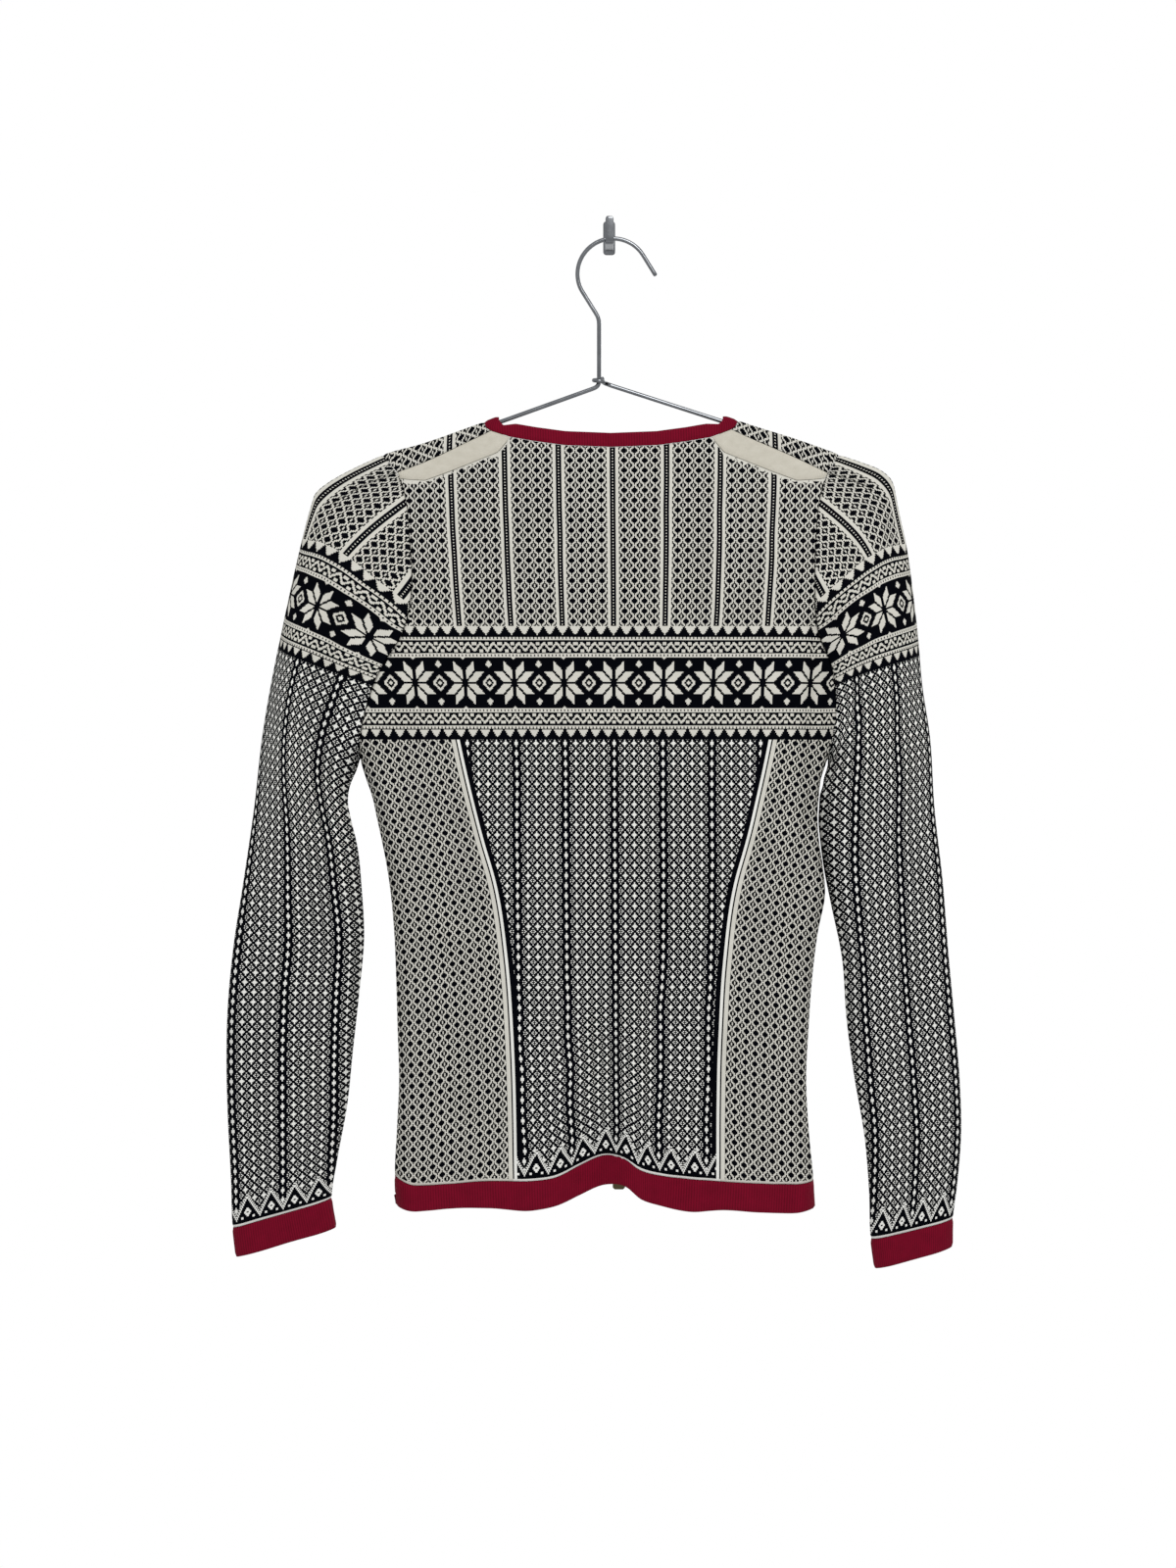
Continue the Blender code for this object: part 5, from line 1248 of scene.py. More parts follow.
@dataclass
class Hanger:
    """The wire hanger and the wall hook that carries it."""

    finishes: Finishes
    wire: float = 1.6
    below_fold: float = 4.3
    hook_centre: tuple[float, float] = (2.6, -32.0)
    hook_radius: float = 26.0
    hook_sweep: tuple[float, float] = (36.5, 204.0)
    hook_tip: tuple[float, float] = (33.4, -32.5)
    stem_x: float = -7.6
    stem_bend_z: float = -64.5
    stem_foot_z: float = -113.4
    wrap_z: float = -111.4
    wrap_clear: float = 0.5
    wrap_rise: float = 3.8
    wrap_sweep: float = 318.0
    arm_from: float = 84.0
    end_x: tuple[float, float] = (200.0, 191.5)
    end_z: float = -194.5
    end_radius: float = 6.5
    # Length of a step of the wire's centre line, and how often its corners are softened
    wire_step: float = 1.6
    wire_passes: int = 3
    plate: tuple[float, float, float] = (9.0, 1.5, 25.0)
    plate_corner: float = 2.4
    # The plate's sections, wall to front: share of its thickness, share of its size
    plate_sections: tuple[tuple[float, float], ...] = ((0.0, 0.5), (0.0, 1.0), (0.5, 1.0), (1.0, 0.93), (1.0, 0.5))
    strip_width: float = 6.0
    strip: float = 1.8
    tip_z: float = 9.6
    floor_z: float = -8.6
    strip_behind: float = 0.3
    strip_before: float = 0.8
    tip_taper: tuple[float, ...] = (0.99, 0.95, 0.86, 0.68)

    def under_shoulder(self, hand: int, end: float) -> np.ndarray:
        """The hanger's arm where it runs under the shoulder fold, neck to end."""
        x = hand * np.linspace(self.arm_from, end - 6.0, 40)
        return np.column_stack([x + GARMENT_X, DRAPE.below(x, self.below_fold)])

    def softened(self, line: np.ndarray, step: float, passes: int) -> np.ndarray:
        """A line at even steps whose corners are rounded by repeated means of neighbours."""
        count = max(int(run_length(line)[-1] / step), 8)
        line = resampled(line, np.linspace(0, 1, count))
        for _ in range(passes):
            line[1:-1] = (line[:-2] + 2 * line[1:-1] + line[2:]) / 4
        return line

    def build(self) -> None:
        """Makes and dresses the wire, the hook strip and its plate."""
        hook = arc(self.hook_centre, self.hook_radius, *self.hook_sweep, 60)
        stem = [(self.stem_x - 0.5, self.stem_bend_z + 1.0), (self.stem_x, self.stem_bend_z - 1.6)]
        stem += [(self.stem_x, self.stem_foot_z + 0.8), (self.stem_x - 1.2, self.stem_foot_z - 1.0)]
        left_end = arc((GARMENT_X - self.end_x[0], self.end_z), self.end_radius, 125.0, 270.0, 16)
        right_end = arc((GARMENT_X + self.end_x[1], self.end_z), self.end_radius, -90.0, 55.0, 16)
        left_arm, right_arm = self.under_shoulder(LEFT, self.end_x[0]), self.under_shoulder(RIGHT, self.end_x[1])
        wrap = 2 * self.wire + self.wrap_clear
        towards = (self.stem_x + wrap + 5.0, self.wrap_z - 1.9)
        flat = np.array([self.hook_tip, *hook, *stem, *left_arm, *left_end, *right_end, *right_arm[::-1], towards])
        flat = self.softened(flat, self.wire_step, self.wire_passes)
        turn = np.radians(np.linspace(0.0, self.wrap_sweep, 40))
        rise = self.wrap_z + self.wrap_rise * turn / (2 * math.pi)
        coil = np.column_stack([self.stem_x + wrap * np.cos(turn), PLANE_Y - wrap * np.sin(turn), rise])
        path = np.concatenate([np.column_stack([flat[:, 0], np.full(len(flat), PLANE_Y), flat[:, 1]]), coil])
        dress(tube("hanger_wire", path, self.wire), self.finishes.chrome, nodes=["hanger"])
        self.plate_and_strip()

    def plate_and_strip(self) -> None:
        """Makes and dresses the wall plate and the bent strip that carries the hanger."""
        width, thick, height = self.plate
        stations = np.array([(0, -thick * t, 0, size, 0, 0, 0, 0, size) for t, size in self.plate_sections])
        plate = loft("wall_plate_cover", rounded(width / 2, height / 2, self.plate_corner), stations)
        dress(plate, self.finishes.chrome, nodes=["wall_plate"])
        back_y = -thick - self.strip_behind - self.strip / 2
        tip_y = PLANE_Y - self.wire - self.strip_before - self.strip / 2
        floor = self.floor_z - self.strip / 2
        line = np.array([(back_y, height / 2 - 3.0), (back_y, floor), (tip_y, floor), (tip_y, self.tip_z)])
        line = self.softened(line, 0.7, 12)
        step = np.gradient(line, axis=0)
        step /= np.linalg.norm(step, axis=1, keepdims=True)
        taper, none = np.ones(len(line)), np.zeros(len(line))
        taper[-len(self.tip_taper) :] = self.tip_taper
        stations = np.column_stack([none, line, taper, none, none, none, -step[:, 1], step[:, 0]])
        strip = loft("wall_hook_strip", rounded(self.strip_width / 2, self.strip / 2, 0.5), stations)
        dress(strip, self.finishes.chrome, nodes=["wall_hook"])


@dataclass
class ZipFastener:
    """The zip down the front: tapes, teeth, slider, pull and the box at the foot."""

    finishes: Finishes
    tooth_pitch: float = 2.1
    # A tooth's sections, foot to head: reach across, height and depth
    tooth_sections: tuple[tuple[float, float, float], ...] = (
        (2.55, 0.9, 1.7), (2.3, 1.05, 2.2), (0.6, 1.0, 2.0), (0.1, 0.75, 1.5), (-0.75, 1.05, 2.2), (-0.95, 0.8, 1.6),
    )
    tooth_height: float = 0.972
    slider_length: float = 11.0
    slider_top_z: float = -205.0
    # Bare tape between the teeth and the box, and between the teeth and the slider
    foot_clear: float = 1.6
    slider_clear: float = 1.4
    box_height: float = 9.0
    tape_columns: int = 7
    tape_flat: tuple[float, float] = (0.0100, 0.4885)

    def line(self, x: np.ndarray, z: np.ndarray) -> tuple[np.ndarray, np.ndarray]:
        """Points on the front sheet along the zip, and the unit normals there."""
        low, here, high = (DRAPE.points(x, z + d, "trunk", FRONT) for d in (-1.0, 0.0, 1.0))
        rise = high - low
        normal = np.stack([np.zeros(z.shape), rise[..., 2], -rise[..., 1]], -1)
        return here, normal / np.linalg.norm(normal, axis=-1, keepdims=True)

    def build(self) -> None:
        """Makes and dresses the tapes and the teeth, and gives the slider, the pull and the box the lacquer."""
        z = np.linspace(ZIP_BOTTOM_Z, ZIP_TOP_Z, 180)
        for hand, word in WORDS.items():
            across = crowded(self.tape_columns, 0.3) * (TAPE_OUTER - TAPE_INNER) + TAPE_INNER
            x = zip_x(z)[:, None] + hand * across[None]
            grid = np.stack([x, np.repeat(z[:, None], self.tape_columns, 1)], -1)
            outer = DRAPE.points(x, grid[..., 1], "trunk", FRONT)
            name = f"zip_tape_{word}"
            tape = cloth(f"{name}_weave", outer, flat_maps(grid), thickness=TAPE_THICKNESS, lift=-TAPE_BEHIND)
            dress(tape, self.finishes.tape, nodes=[name])
        self.teeth()
        for node in ("zip_slider", "zip_pull", "zip_box"):
            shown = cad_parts[node]
            for place in range(len(shown.data.materials)):
                shown.data.materials[place] = self.finishes.lacquer

    def teeth(self) -> None:
        """Two rows of teeth that reach past each other on the middle line.

        A tooth is a rounded bar whose head is a little higher and wider than its foot. The
        teeth of one side stand half a pitch above those of the other.
        """
        foot = ZIP_BOTTOM_Z + self.box_height / 2 + self.foot_clear
        top = self.slider_top_z - self.slider_length - self.slider_clear
        count = int((top - foot) / self.tooth_pitch * 2)
        z = foot + np.arange(count) * self.tooth_pitch / 2
        hand = np.where(np.arange(count) % 2 == 0, 1.0, -1.0)
        here, normal = self.line(zip_x(z), z)
        middle = here - normal * (TAPE_BEHIND + TAPE_THICKNESS / 2)
        profile = rounded(0.5, 0.5, 0.22, 2)
        reach, tall, deep = np.array(self.tooth_sections).T
        tall = tall * self.tooth_height
        sideways = np.array([1.0, 0.0, 0.0])
        up = np.cross(sideways, normal)
        centre = middle[:, None] + hand[:, None, None] * reach[None, :, None] * sideways
        grid = centre[:, :, None] + profile[None, None, :, :1] * tall[None, :, None, None] * -up[:, None, None]
        grid = grid + profile[None, None, :, 1:] * deep[None, :, None, None] * normal[:, None, None]
        points = grid.reshape(-1, 3)
        one, size = closed_rings(len(reach), len(profile)), len(reach) * len(profile)
        turned = np.stack([one, one[:, ::-1]])
        right_way = volume(points[:size], one) > 0
        pick = turned[np.where((hand > 0) == right_way, 0, 1)]
        faces = (pick + np.arange(count)[:, None, None] * size).reshape(-1, 4)
        piece = new_mesh("zip_teeth", points, faces)
        dress(piece, self.finishes.lacquer, nodes=["zip_chain"])


@dataclass
class Studio:
    """Floor, soft light and the camera."""

    camera_place: tuple[float, float, float] = (-0.0157, -2.03, -0.404)
    lens: float = 62.94
    floor_z: float = -1.6
    floor_size: float = 3.2
    floor_y: float = -0.4
    # Name, place, size in metres and watts of each light, and the point that all face
    lights: tuple[tuple[str, tuple[float, float, float], float, float], ...] = (
        ("key", (0.5, -2.6, 1.5), 1.4, 46.0), ("front_fill", (1.4, 2.2, 0.6), 1.8, 23.0),
    )
    aim: tuple[float, float, float] = (0.0, -0.03, -0.42)
    world_level: float = 0.73
    world_tint: tuple[float, float, float, float] = (0.97, 0.985, 1, 1)

    def build(self) -> None:
        """Makes the floor, the lights, the world and the camera."""
        scene = bpy.context.scene
        camera = bpy.data.objects.new("camera", bpy.data.cameras.new("camera"))
        camera.location = self.camera_place
        camera.rotation_euler = (math.radians(90), 0, 0)
        camera.data.lens = self.lens
        camera.data.sensor_width = 36.0
        scene.collection.objects.link(camera)
        scene.camera = camera
        scene.view_settings.view_transform = "Standard"
        for name, place, size, watts in self.lights:
            light = bpy.data.objects.new(name, bpy.data.lights.new(name, "AREA"))
            light.data.size = size
            light.data.energy = watts
            light.location = place
            x, y, z = np.array(place) - np.array(self.aim)
            light.rotation_euler = (math.atan2(math.hypot(x, y), z), 0, math.atan2(x, -y))
            scene.collection.objects.link(light)
        tree = world_tree(scene)
        ray = add_node(tree, "ShaderNodeLightPath", {})
        shown = add_node(tree, "ShaderNodeBackground", {"Color": (1, 1, 1, 1), "Strength": 1.0})
        lit = add_node(tree, "ShaderNodeBackground", {"Color": self.world_tint, "Strength": self.world_level})
        seen = ray.outputs["Is Camera Ray"]
        mixed = add_node(tree, "ShaderNodeMixShader", {0: seen, 1: lit.outputs[0], 2: shown.outputs[0]})
        add_node(tree, "ShaderNodeOutputWorld", {"Surface": mixed.outputs[0]})
        corners = np.array([(-1, -1, 0), (1, -1, 0), (1, 1, 0), (-1, 1, 0)]) * self.floor_size / 2
        points = (corners + (0, self.floor_y, self.floor_z)) / MM
        floor = new_mesh("floor", points, np.array([[0, 1, 2, 3]]))
        floor.data.materials.append(PaintedFloor().material())


def world_tree(scene: bpy.types.Scene) -> bpy.types.NodeTree:
    """An empty node tree on a new world."""
    world = bpy.data.worlds.new("studio")
    world.use_nodes = True
    world.node_tree.nodes.clear()
    scene.world = world
    return world.node_tree


def srgb(code: str) -> tuple[float, float, float, float]:
    """A linear colour from an sRGB hex value, by the sRGB curve."""
    parts = (int(code[i : i + 2], 16) / 255 for i in (1, 3, 5))
    return (*(c / 12.92 if c <= 0.04045 else ((c + 0.055) / 1.055) ** 2.4 for c in parts), 1.0)


def add_node(tree: bpy.types.NodeTree, kind: str, links: dict, **settings: object) -> bpy.types.Node:
    """Adds a node with its settings and its inputs.

    Args:
        tree: where the node goes.
        kind: Blender's name of the node.
        links: for each input, by name or number, a Term, an output socket or a value.
        settings: the node's own attributes.

    Returns:
        The node.
    """
    node = tree.nodes.new(kind)
    for name, value in settings.items():
        setattr(node, name, value)
    for key, value in links.items():
        value = value.socket if isinstance(value, Term) else value
        if isinstance(value, bpy.types.NodeSocket):
            tree.links.new(value, node.inputs[key])
        else:
            node.inputs[key].default_value = value
    return node


Number = Union["Term", float]


@dataclass(frozen=True)
class Term:
    """A number that a material works out at each point of the surface, with usual arithmetic."""

    tree: bpy.types.NodeTree
    socket: bpy.types.NodeSocket

    def then(self, operation: str, *others: Number, clamp: bool = False) -> "Term":
        """The result of a sum, product or other operation with this number first."""
        inputs = dict(enumerate((self, *others)))
        node = add_node(self.tree, "ShaderNodeMath", inputs, operation=operation, use_clamp=clamp)
        return Term(self.tree, node.outputs[0])

    def __add__(self, other: Number) -> "Term":
        """Sum."""
        return self.then("ADD", other)

    def __sub__(self, other: Number) -> "Term":
        """Difference."""
        return self.then("SUBTRACT", other)

    def __rsub__(self, other: float) -> "Term":
        """A constant less this number."""
        return (self * -1.0) + other

    def __mul__(self, other: Number) -> "Term":
        """Product. Of two yes-or-no numbers it says that both hold."""
        return self.then("MULTIPLY", other)

    def __lt__(self, other: Number) -> "Term":
        """1 where this number is less, else 0."""
        return self.then("LESS_THAN", other)

    def __gt__(self, other: Number) -> "Term":
        """1 where this number is more, else 0."""
        return self.then("GREATER_THAN", other)

    def __or__(self, other: Number) -> "Term":
        """The larger of two numbers: either of two yes-or-no numbers holds."""
        return self.then("MAXIMUM", other)

    def size(self) -> "Term":
        """The number without its sign."""
        return self.then("ABSOLUTE")

    def inverse(self) -> "Term":
        """No for yes, and yes for no."""
        return 1.0 - self

    def pick(self, yes: Number, no: "Term") -> "Term":
        """One number where this one is 1 and another where it is 0."""
        return (yes - no) * self + no

    def clamped(self) -> "Term":
        """The number held between 0 and 1."""
        return self.then("MAXIMUM", 0.0).then("MINIMUM", 1.0)


@dataclass(frozen=True)
class Finish:
    """A finish: a named material whose shader takes constants and a few worked-out inputs."""

    name: str

    def begin(self) -> tuple[bpy.types.Material, bpy.types.NodeTree]:
        """A new material with an empty tree."""
        made = bpy.data.materials.new(self.name)
        made.use_nodes = True
        made.node_tree.nodes.clear()
        return made, made.node_tree

    def shade(self, tree: bpy.types.NodeTree, inputs: dict) -> None:
        """Adds the shader with its inputs, and the output."""
        shader = add_node(tree, "ShaderNodeBsdfPrincipled", inputs)
        add_node(tree, "ShaderNodeOutputMaterial", {"Surface": shader.outputs[0]})

    def blend(
        self, tree: bpy.types.NodeTree, share: Number, low: object, high: object, way: str = "MIX"
    ) -> bpy.types.NodeSocket:
        """The mix of two colours by a share, or their product where the way is MULTIPLY."""
        inputs = {0: share, 6: low, 7: high}
        return add_node(tree, "ShaderNodeMix", inputs, data_type="RGBA", blend_type=way).outputs[2]

    def bump(
        self, tree: bpy.types.NodeTree, height: Number, strength: float, distance: float
    ) -> bpy.types.NodeSocket:
        """The normal of a surface with this relief, whose full height is a distance in metres."""
        inputs = {"Height": height, "Strength": strength, "Distance": distance}
        return add_node(tree, "ShaderNodeBump", inputs).outputs[0]

    def noise(
        self,
        tree: bpy.types.NodeTree,
        vector: bpy.types.NodeSocket,
        grain_mm: float,
        detail: float = 2.0,
        unit: float = 1.0,
    ) -> Term:
        """Cloudy noise from 0 to 1.

        Args:
            tree: where its node goes.
            vector: the coordinates that it follows.
            grain_mm: size of its grain.
            detail: how many finer layers it has.
            unit: one unit of the coordinates, in millimetres.

        Returns:
            The noise.
        """
        inputs = {"Vector": vector, "Scale": unit / grain_mm, "Detail": detail, "Roughness": 0.55}
        return Term(tree, add_node(tree, "ShaderNodeTexNoise", inputs).outputs[0])

    def stitches(self, across: Term, up: Term, slant: float) -> Term:
        """Relief of plain knit: slanting arms, a squared sine of across plus up, and furrows.

        Args:
            across: distance from the stitch's middle, in stitches.
            up: height in the stitch, in rows.
            slant: share of the slanting arms in the relief.

        Returns:
            The relief, 0 to 1.
        """
        arms = ((across + up) * math.pi).then("SINE").then("POWER", 2.0)
        return arms * slant + (across * (2 * math.pi)).then("SINE") * (1 - slant)

    def object_place(self, tree: bpy.types.NodeTree) -> bpy.types.NodeSocket:
        """The object coordinates."""
        return add_node(tree, "ShaderNodeTexCoord", {}).outputs["Object"]

    def maps(self, tree: bpy.types.NodeTree, chart: str) -> tuple[bpy.types.NodeSocket, Term, Term]:
        """A UV map's vector and its two numbers."""
        node = add_node(tree, "ShaderNodeUVMap", {}, uv_map=chart)
        parts = add_node(tree, "ShaderNodeSeparateXYZ", {0: node.outputs[0]})
        return node.outputs[0], Term(tree, parts.outputs[0]), Term(tree, parts.outputs[1])


@dataclass(frozen=True)
class JacquardKnit(Finish):
    """Fine two-colour jacquard in plain knit, cotton and wool yarn, washed and worn soft.

    The eye sees near-black navy and bone white in stepped diamonds, matt, with a faint fuzz.
    Each stitch is a small V, 0.944 mm wide and 0.73 mm tall, which is its real size, because
    the steps of the pattern are whole stitches.
    """

    name: str = "two_colour_jacquard_knit"
    stitch: float = STITCH
    row: float = ROW
    repeat: float = REPEAT
    dark: str = "#030409"
    light: str = "#d2cfc5"
    bright: str = "#e9e8e2"
    band_half: float = 41.0
    # Half width of a stripe in stitches, and how many repeats from the middle the yoke's stripes go
    stripe_half: float = 2.5
    striped_repeats: float = 3.6
    # Half widths in stitches of a yoke stripe's dark middle and of its light lines
    yoke_middle: float = 2.2
    yoke_line: float = 4.6
    # Millimetres out of the princess line where it turns dark, light, dark, light, and to the ground
    seam_lines: tuple[float, ...] = (-6.2, -2.7, -0.6, 0.45, 3.4)
    # The side panels' pattern is this much narrower, and falls by this share to the side
    flank_narrow: float = 1.1
    flank_fall: float = 0.15
    # The light line above the rib, and how the yoke's ragged join swings about the inset's edge
    rib_line: float = 1.7
    ragged_swing: float = 13.0
    ragged_above: float = 4.6
    # From the star band's middle, in millimetres: end of the stars, the two beaded lines, the
    # zigzag's zone, and where the triangles stand and how tall they are
    stars_end: float = 18.6
    line_places: tuple[float, float] = (20.0, 32.0)
    zigzag_zone: tuple[float, float] = (21.4, 30.6)
    triangle_foot: float = 33.4
    triangle_height: float = 7.2

    def diamonds(self, m: Term, row: Term, dark: Term) -> Term:
        """Solid and open diamonds in turn on a lattice of 8 stitches by 10 rows.

        A diamond is where the distances across and up, over its half sizes, add up to less
        than 1. Dark ones are 2.9 stitches by 4.5 rows, and light ones 2.1 by 3.6. An open
        dark one leaves its middle 3 rows, and a light one a cross of 3 stitches by 5 rows.

        Args:
            m: stitches across from a diamond's middle line.
            row: the stitch's row.
            dark: 1 where the diamonds are dark on a light ground.

        Returns:
            1 on a diamond's stitches.
        """
        across, up = m.then("PINGPONG", 4.0), row.then("PINGPONG", 5.0)
        narrow, low = dark * (1 / 2.9 - 1 / 2.1) + 1 / 2.1, dark * (1 / 4.5 - 1 / 3.6) + 1 / 3.6
        solid = (4.0 - across) * narrow + up * low < 1.0
        open_up = 5.0 - up
        outline = across * narrow + open_up * low < 1.0
        hole = (across < 0.5) * (open_up < 2.6 - dark) | (across < 1.5 - dark) * (open_up < 0.6)
        return solid | outline * hole.inverse()

    def star_band(self, out: Term, up: Term, col: Term, above: Term) -> Term:
        """A generic band of eight-petalled stars between zigzags, beads and small triangles.

        Args:
            out: distance from the nearest star's middle line, millimetres.
            up: distance from the band's middle, millimetres.
            col: the stitch's column.
            above: 1 in the upper half.

        Returns:
            1 where the stitch is light.
        """
        low, high = out.then("MINIMUM", up), out.then("MAXIMUM", up)
        petal = high - low
        star = (low > 1.0) * (low < 7.9) * (petal > 1.2) * (petal < 7.9)
        rim = self.stitch * self.repeat / 2 - out
        ring = rim + up
        between = (ring < 6.0) * (ring > 3.9) | (ring < 1.5)
        small = rim + (up - 13.4).size() < 2.7
        corner = out + (up - 18.4).size() < 1.6
        middle = (up < self.stars_end) * (star | between | small | corner)
        bead = (col.then("PINGPONG", 1.5) < 0.5).inverse()
        for place in self.line_places:
            away = (up - place).size()
            middle = middle | (away < 1.3) * (bead | (away > 0.7))
        wave = self.wave(out, 8)
        zigzag = (up - (wave * 5.6 + 23.2)).size() < 1.15
        dots = (wave < 0.3) * ((up - 28.6).size() < 1.1) | (wave > 0.7) * ((up - 23.4).size() < 1.1)
        rise = (up - self.triangle_foot) * (1 / self.triangle_height)
        edge = (up > self.triangle_foot) * above.pick(rise > wave + 0.12, rise < wave - 0.15)
        zone_from, zone_to = self.zigzag_zone
        return middle | (up > zone_from) * (up < zone_to) * (zigzag | dots) | edge

    def wave(self, out: Term, parts: int) -> Term:
        """A straight-sided wave from 0 to 1 that turns this many times in a repeat."""
        half = self.stitch * self.repeat / parts
        return out.then("PINGPONG", half) * (1 / half)

    def hem_border(self, out: Term, up: Term) -> tuple[Term, Term]:
        """A generic border above a rib: a light line, and zigzag lines over small diamonds.

        Args:
            out: distance from the nearest stripe, millimetres.
            up: distance above the rib, millimetres.

        Returns:
            1 where the border is, and 1 where its stitch is light.
        """
        wide = self.wave(out, 4)
        crest = wide * 16.0 + 4.5
        lines = (up - crest).size() < 0.95
        second = (up - crest - 2.3).size() < 0.5
        across = 1.0 - wide
        diamond = across * (self.stitch * self.repeat / 4) + (up - 9.0).size() * 0.8
        inside = (diamond < 3.0) * (diamond < 0.9).inverse()
        dots = (across > 0.42) * (across < 0.58) * ((up - 5.2).size() < 0.8)
        return up < crest + 3.1, (up < self.rib_line) | lines | second | inside | dots

    def material(self) -> bpy.types.Material:
        """The material, read from the chart and zone maps."""
        made, tree = self.begin()
        vector, u, v = self.maps(tree, Chart.KNIT.value)
        _, beyond, height = self.maps(tree, Chart.ZONE.value)
        below = v < -self.band_half
        above = v > 0.0
        side = (beyond > 0.0) * below
        # The stitch: its column and row, and the place in it
        x = side.pick(beyond * self.flank_narrow, u) * (1 / self.stitch) + 0.5
        y = (side * (u.size() * self.flank_fall) + v) * (1 / self.row)
        col, row = x.then("FLOOR"), y.then("FLOOR")
        across, up = (x - col - 0.5).size(), y - row
        # Diamonds, counted from the nearest stripe, or on the side panels from the princess line
        from_stripe = col.then("WRAP", self.repeat - 20.5, -20.5).size()
        from_middle = (from_stripe < self.stripe_half).pick(from_stripe + 20.0, self.repeat / 2 - from_stripe)
        m = side.pick(col, from_middle)
        pattern = self.diamonds(m, row, side | above)
        # The yoke: light, with a beaded dark stripe between light lines
        bead = (from_stripe < 0.5) * (row.then("PINGPONG", 1.5) < 0.5)
        smooth_out = (x - 0.5).then("WRAP", self.repeat / 2, -self.repeat / 2).size()
        ragged = beyond < self.noise(tree, vector, 3.2, 3.0) * self.ragged_swing - self.ragged_above
        striped = x.size() < self.striped_repeats * self.repeat
        ground = (smooth_out < self.yoke_line) * striped | pattern.inverse()
        yoke = ((smooth_out > self.yoke_middle) | striped.inverse()).pick(ground, bead) | ragged
        # Below the band: dark in the middle, light on the side panels, with the hem's border
        dark_in, light_in, seam, light_out, ground_out = self.seam_lines
        beside_stripe = (from_stripe - self.stripe_half).size() < 1.2
        centre = pattern * (beyond < dark_in) * beside_stripe.inverse() | (beyond > light_in) * (beyond < seam)
        flank = (pattern.inverse() | (beyond < ground_out)) * (beyond > light_out)
        lower = (beyond > seam).pick(flank, centre)
        out = from_stripe * self.stitch
        border, trimmed = self.hem_border(out, height)
        lower = (border * (beyond < light_in)).pick(trimmed, lower) | (height < self.rib_line)
        band = self.star_band(out, ((row + 0.5) * self.row).size(), col, above)
        in_band = v.size() < self.band_half
        light = in_band.pick(band, above.pick(yoke, lower))
        # The yarn: relief, which also paints shade into the furrows between stitches, cloudy wear and fuzz
        relief = self.stitches(across, up, 0.55)
        cloud = self.noise(tree, vector, 26.0, 3.0)
        fuzz = self.noise(tree, vector, 0.9, 2.0)
        bone = self.blend(tree, below * side.inverse(), srgb(self.light), srgb(self.bright))
        colour = self.blend(tree, light, srgb(self.dark), bone)
        # painted shade: the colour is darkened where the stitch relief is low, in the furrows between stitches, with
        # cloudy wear and fuzz mixed in
        shade = (relief * 0.34 + cloud * 0.16 + fuzz * 0.14) + 0.60
        colour_with_painted_shade_and_wear = self.blend(tree, 1.0, colour, shade, "MULTIPLY")
        normal = self.bump(tree, relief + fuzz * 0.5 + light * 0.5, 0.5, 0.0002)
        self.shade(tree, {"Base Color": colour_with_painted_shade_and_wear, "Roughness": 0.86, "Normal": normal, "Specular IOR Level": 0.03})
        return made


@dataclass(frozen=True)
class PlainKnit(Finish):
    """Undyed cream cotton in plain knit: flat, matt, with small Vs and a warm tint."""

    name: str = "cream_plain_knit"
    colour: str = "#d2cdc0"
    shadow: str = "#aea898"
    stitch: float = 1.1
    row: float = 0.85

    def material(self) -> bpy.types.Material:
        """The material, read from the chart map."""
        made, tree = self.begin()
        vector, u, v = self.maps(tree, Chart.KNIT.value)
        x, y = u * (1 / self.stitch), v * (1 / self.row)
        across = (x - x.then("FLOOR") - 0.5).size()
        up = y - y.then("FLOOR")
        relief = self.stitches(across, up, 0.6)
        cloud = self.noise(tree, vector, 7.0, 4.0)
        share = (relief * 0.5 + cloud * 0.7).then("MINIMUM", 1.0)
        colour = self.blend(tree, share, srgb(self.shadow), srgb(self.colour))
        normal = self.bump(tree, relief + cloud, 0.6, 0.00035)
        self.shade(tree, {"Base Color": colour, "Roughness": 0.9, "Normal": normal, "Specular IOR Level": 0.1})
        return made


@dataclass(frozen=True)
class FineRib(Finish):
    """Dark red cotton in fine one-by-one rib: deep crimson with painted shade in its furrows and between its
    courses, and a cloudy mottle, matt.

    A rib is two stitches, 1.9 mm, drawn at its real size.
    """

    name: str = "crimson_fine_rib"
    colour: str = "#7c0825"
    furrow_shade_and_mottle: str = "#460311"
    pitch: float = 1.9
    row: float = 0.8

    def material(self) -> bpy.types.Material:
        """The material, read from the chart map."""
        made, tree = self.begin()
        vector, u, v = self.maps(tree, Chart.KNIT.value)
        rib = (u * (math.pi / self.pitch)).then("SINE").size()
        course = (v * (math.pi / self.row)).then("SINE").size()
        cloud = self.noise(tree, vector, 9.0, 3.0)
        fuzz = self.noise(tree, vector, 0.8, 2.0)
        # painted shade: the furrow colour fills the rib's furrows and the dips between courses, mixed with cloudy
        # and fine random tone
        share = (rib * 0.45 + course * 0.15 + cloud * 0.45 + fuzz * 0.25 - 0.1).clamped()
        colour = self.blend(tree, share, srgb(self.furrow_shade_and_mottle), srgb(self.colour))
        normal = self.bump(tree, rib + course * 0.25 + fuzz * 0.3, 0.55, 0.0004)
        self.shade(tree, {"Base Color": colour, "Roughness": 0.88, "Normal": normal, "Specular IOR Level": 0.08})
        return made


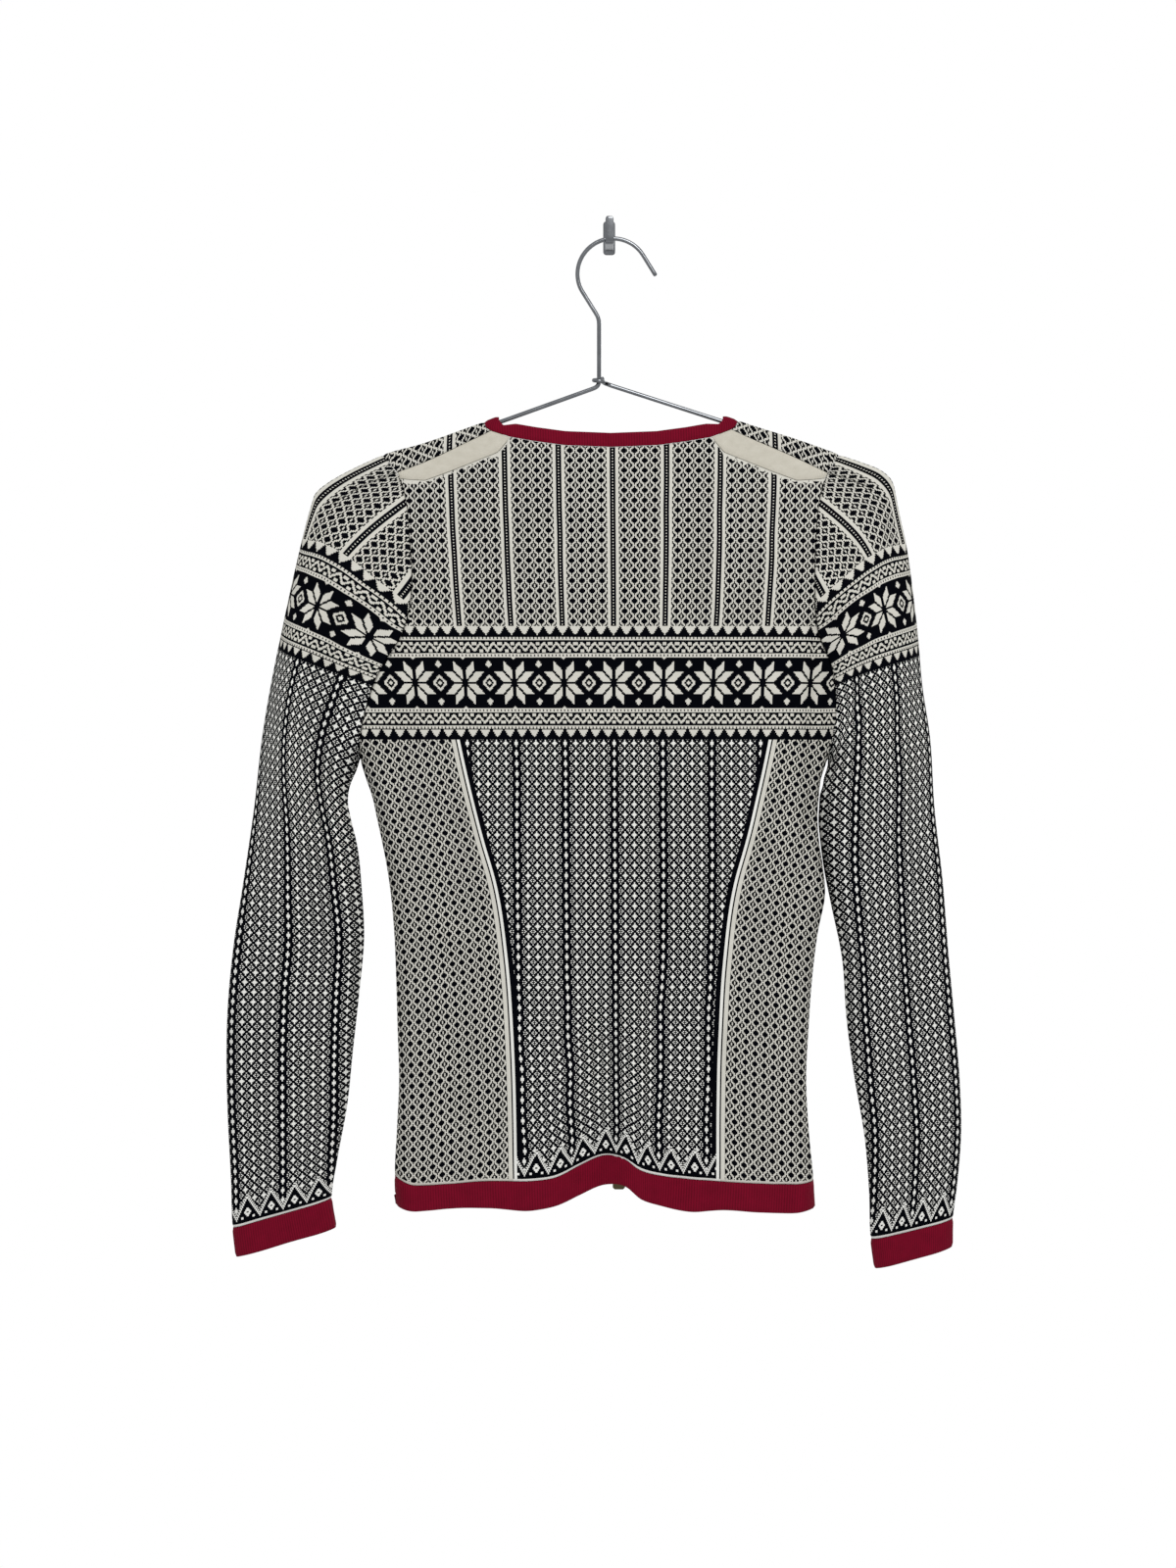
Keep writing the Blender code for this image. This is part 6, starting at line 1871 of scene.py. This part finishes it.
@dataclass(frozen=True)
class ZipTape(Finish):
    """Woven polyester zip tape, black, in a fine twill."""

    name: str = "black_twill_tape"
    colour: str = "#15161a"
    thread: str = "#24262c"
    pitch: float = 0.8

    def material(self) -> bpy.types.Material:
        """The material, read from the chart map."""
        made, tree = self.begin()
        _, u, v = self.maps(tree, Chart.KNIT.value)
        twill = ((u + v * 0.6) * (math.pi / self.pitch)).then("SINE").size()
        warp = (v * (2 * math.pi / self.pitch)).then("SINE").size()
        colour = self.blend(tree, twill, srgb(self.colour), srgb(self.thread))
        normal = self.bump(tree, twill + warp * 0.4, 0.5, 0.00015)
        self.shade(tree, {"Base Color": colour, "Roughness": 0.7, "Normal": normal, "Sheen Weight": 0.1})
        return made


@dataclass(frozen=True)
class LacqueredZinc(Finish):
    """Cast zinc in dark lacquer, worn to brass-brown on its edges."""

    name: str = "dark_lacquered_zinc"
    colour: str = "#262320"
    worn: str = "#5f543f"

    def material(self) -> bpy.types.Material:
        """The material, read from object coordinates and the edges' sharpness."""
        made, tree = self.begin()
        place = self.object_place(tree)
        grain = self.noise(tree, place, 1.6, 4.0, 1 / MM)
        edge = Term(tree, add_node(tree, "ShaderNodeNewGeometry", {}).outputs["Pointiness"])
        wear = ((edge - 0.52) * 6.0 + grain * 0.5 - 0.15).clamped()
        colour = self.blend(tree, wear, srgb(self.colour), srgb(self.worn))
        normal = self.bump(tree, grain, 0.2, 0.0002)
        self.shade(tree, {"Base Color": colour, "Metallic": 1.0, "Roughness": grain * 0.15 + 0.32, "Normal": normal})
        return made


@dataclass(frozen=True)
class ChromePlate(Finish):
    """Chrome-plated steel wire with fine scratches along it, in a cool grey darker than plating and in darker cloudy
    patches, both painted reflection of darker surroundings.
    """

    name: str = "chrome_plated_steel"
    colour: str = "#8f9194"
    darker_tone: str = "#5c5e61"

    def material(self) -> bpy.types.Material:
        """The material, read from object coordinates."""
        made, tree = self.begin()
        place = self.object_place(tree)
        cloud = self.noise(tree, place, 14.0, 4.0, 1 / MM)
        grain = self.noise(tree, place, 0.6, 3.0, 1 / MM)
        # painted reflection: cloudy patches of the darker tone stand in for darker surroundings seen in the plating
        colour = self.blend(tree, cloud, srgb(self.darker_tone), srgb(self.colour))
        normal = self.bump(tree, grain, 0.12, 0.0001)
        self.shade(tree, {"Base Color": colour, "Metallic": 1.0, "Roughness": cloud * 0.14 + 0.10, "Normal": normal})
        return made


@dataclass(frozen=True)
class PaintedFloor(Finish):
    """Pale matt painted floor, with a very faint mottle."""

    name: str = "pale_painted_floor"
    colour: str = "#e8e8e8"
    darker_tone: str = "#dedede"

    def material(self) -> bpy.types.Material:
        """The material, read from object coordinates."""
        made, tree = self.begin()
        place = self.object_place(tree)
        cloud = self.noise(tree, place, 160.0, 4.0, 1 / MM)
        colour = self.blend(tree, cloud, srgb(self.darker_tone), srgb(self.colour))
        self.shade(tree, {"Base Color": colour, "Roughness": 0.8})
        return made


def main() -> None:
    """Builds every sub-assembly in turn."""
    logging.basicConfig(level=logging.INFO, format="%(name)s %(message)s")
    finishes = Finishes(
        jacquard=JacquardKnit().material(), plain=PlainKnit().material(), rib=FineRib().material(),
        tape=ZipTape().material(), lacquer=LacqueredZinc().material(), chrome=ChromePlate().material(),
    )
    Studio().build()
    Trunk(finishes).build()
    for hand in (LEFT, RIGHT):
        Sleeve(hand, finishes).build()
    ZipFastener(finishes).build()
    Hanger(finishes).build()


if __name__ == "__main__":
    main()
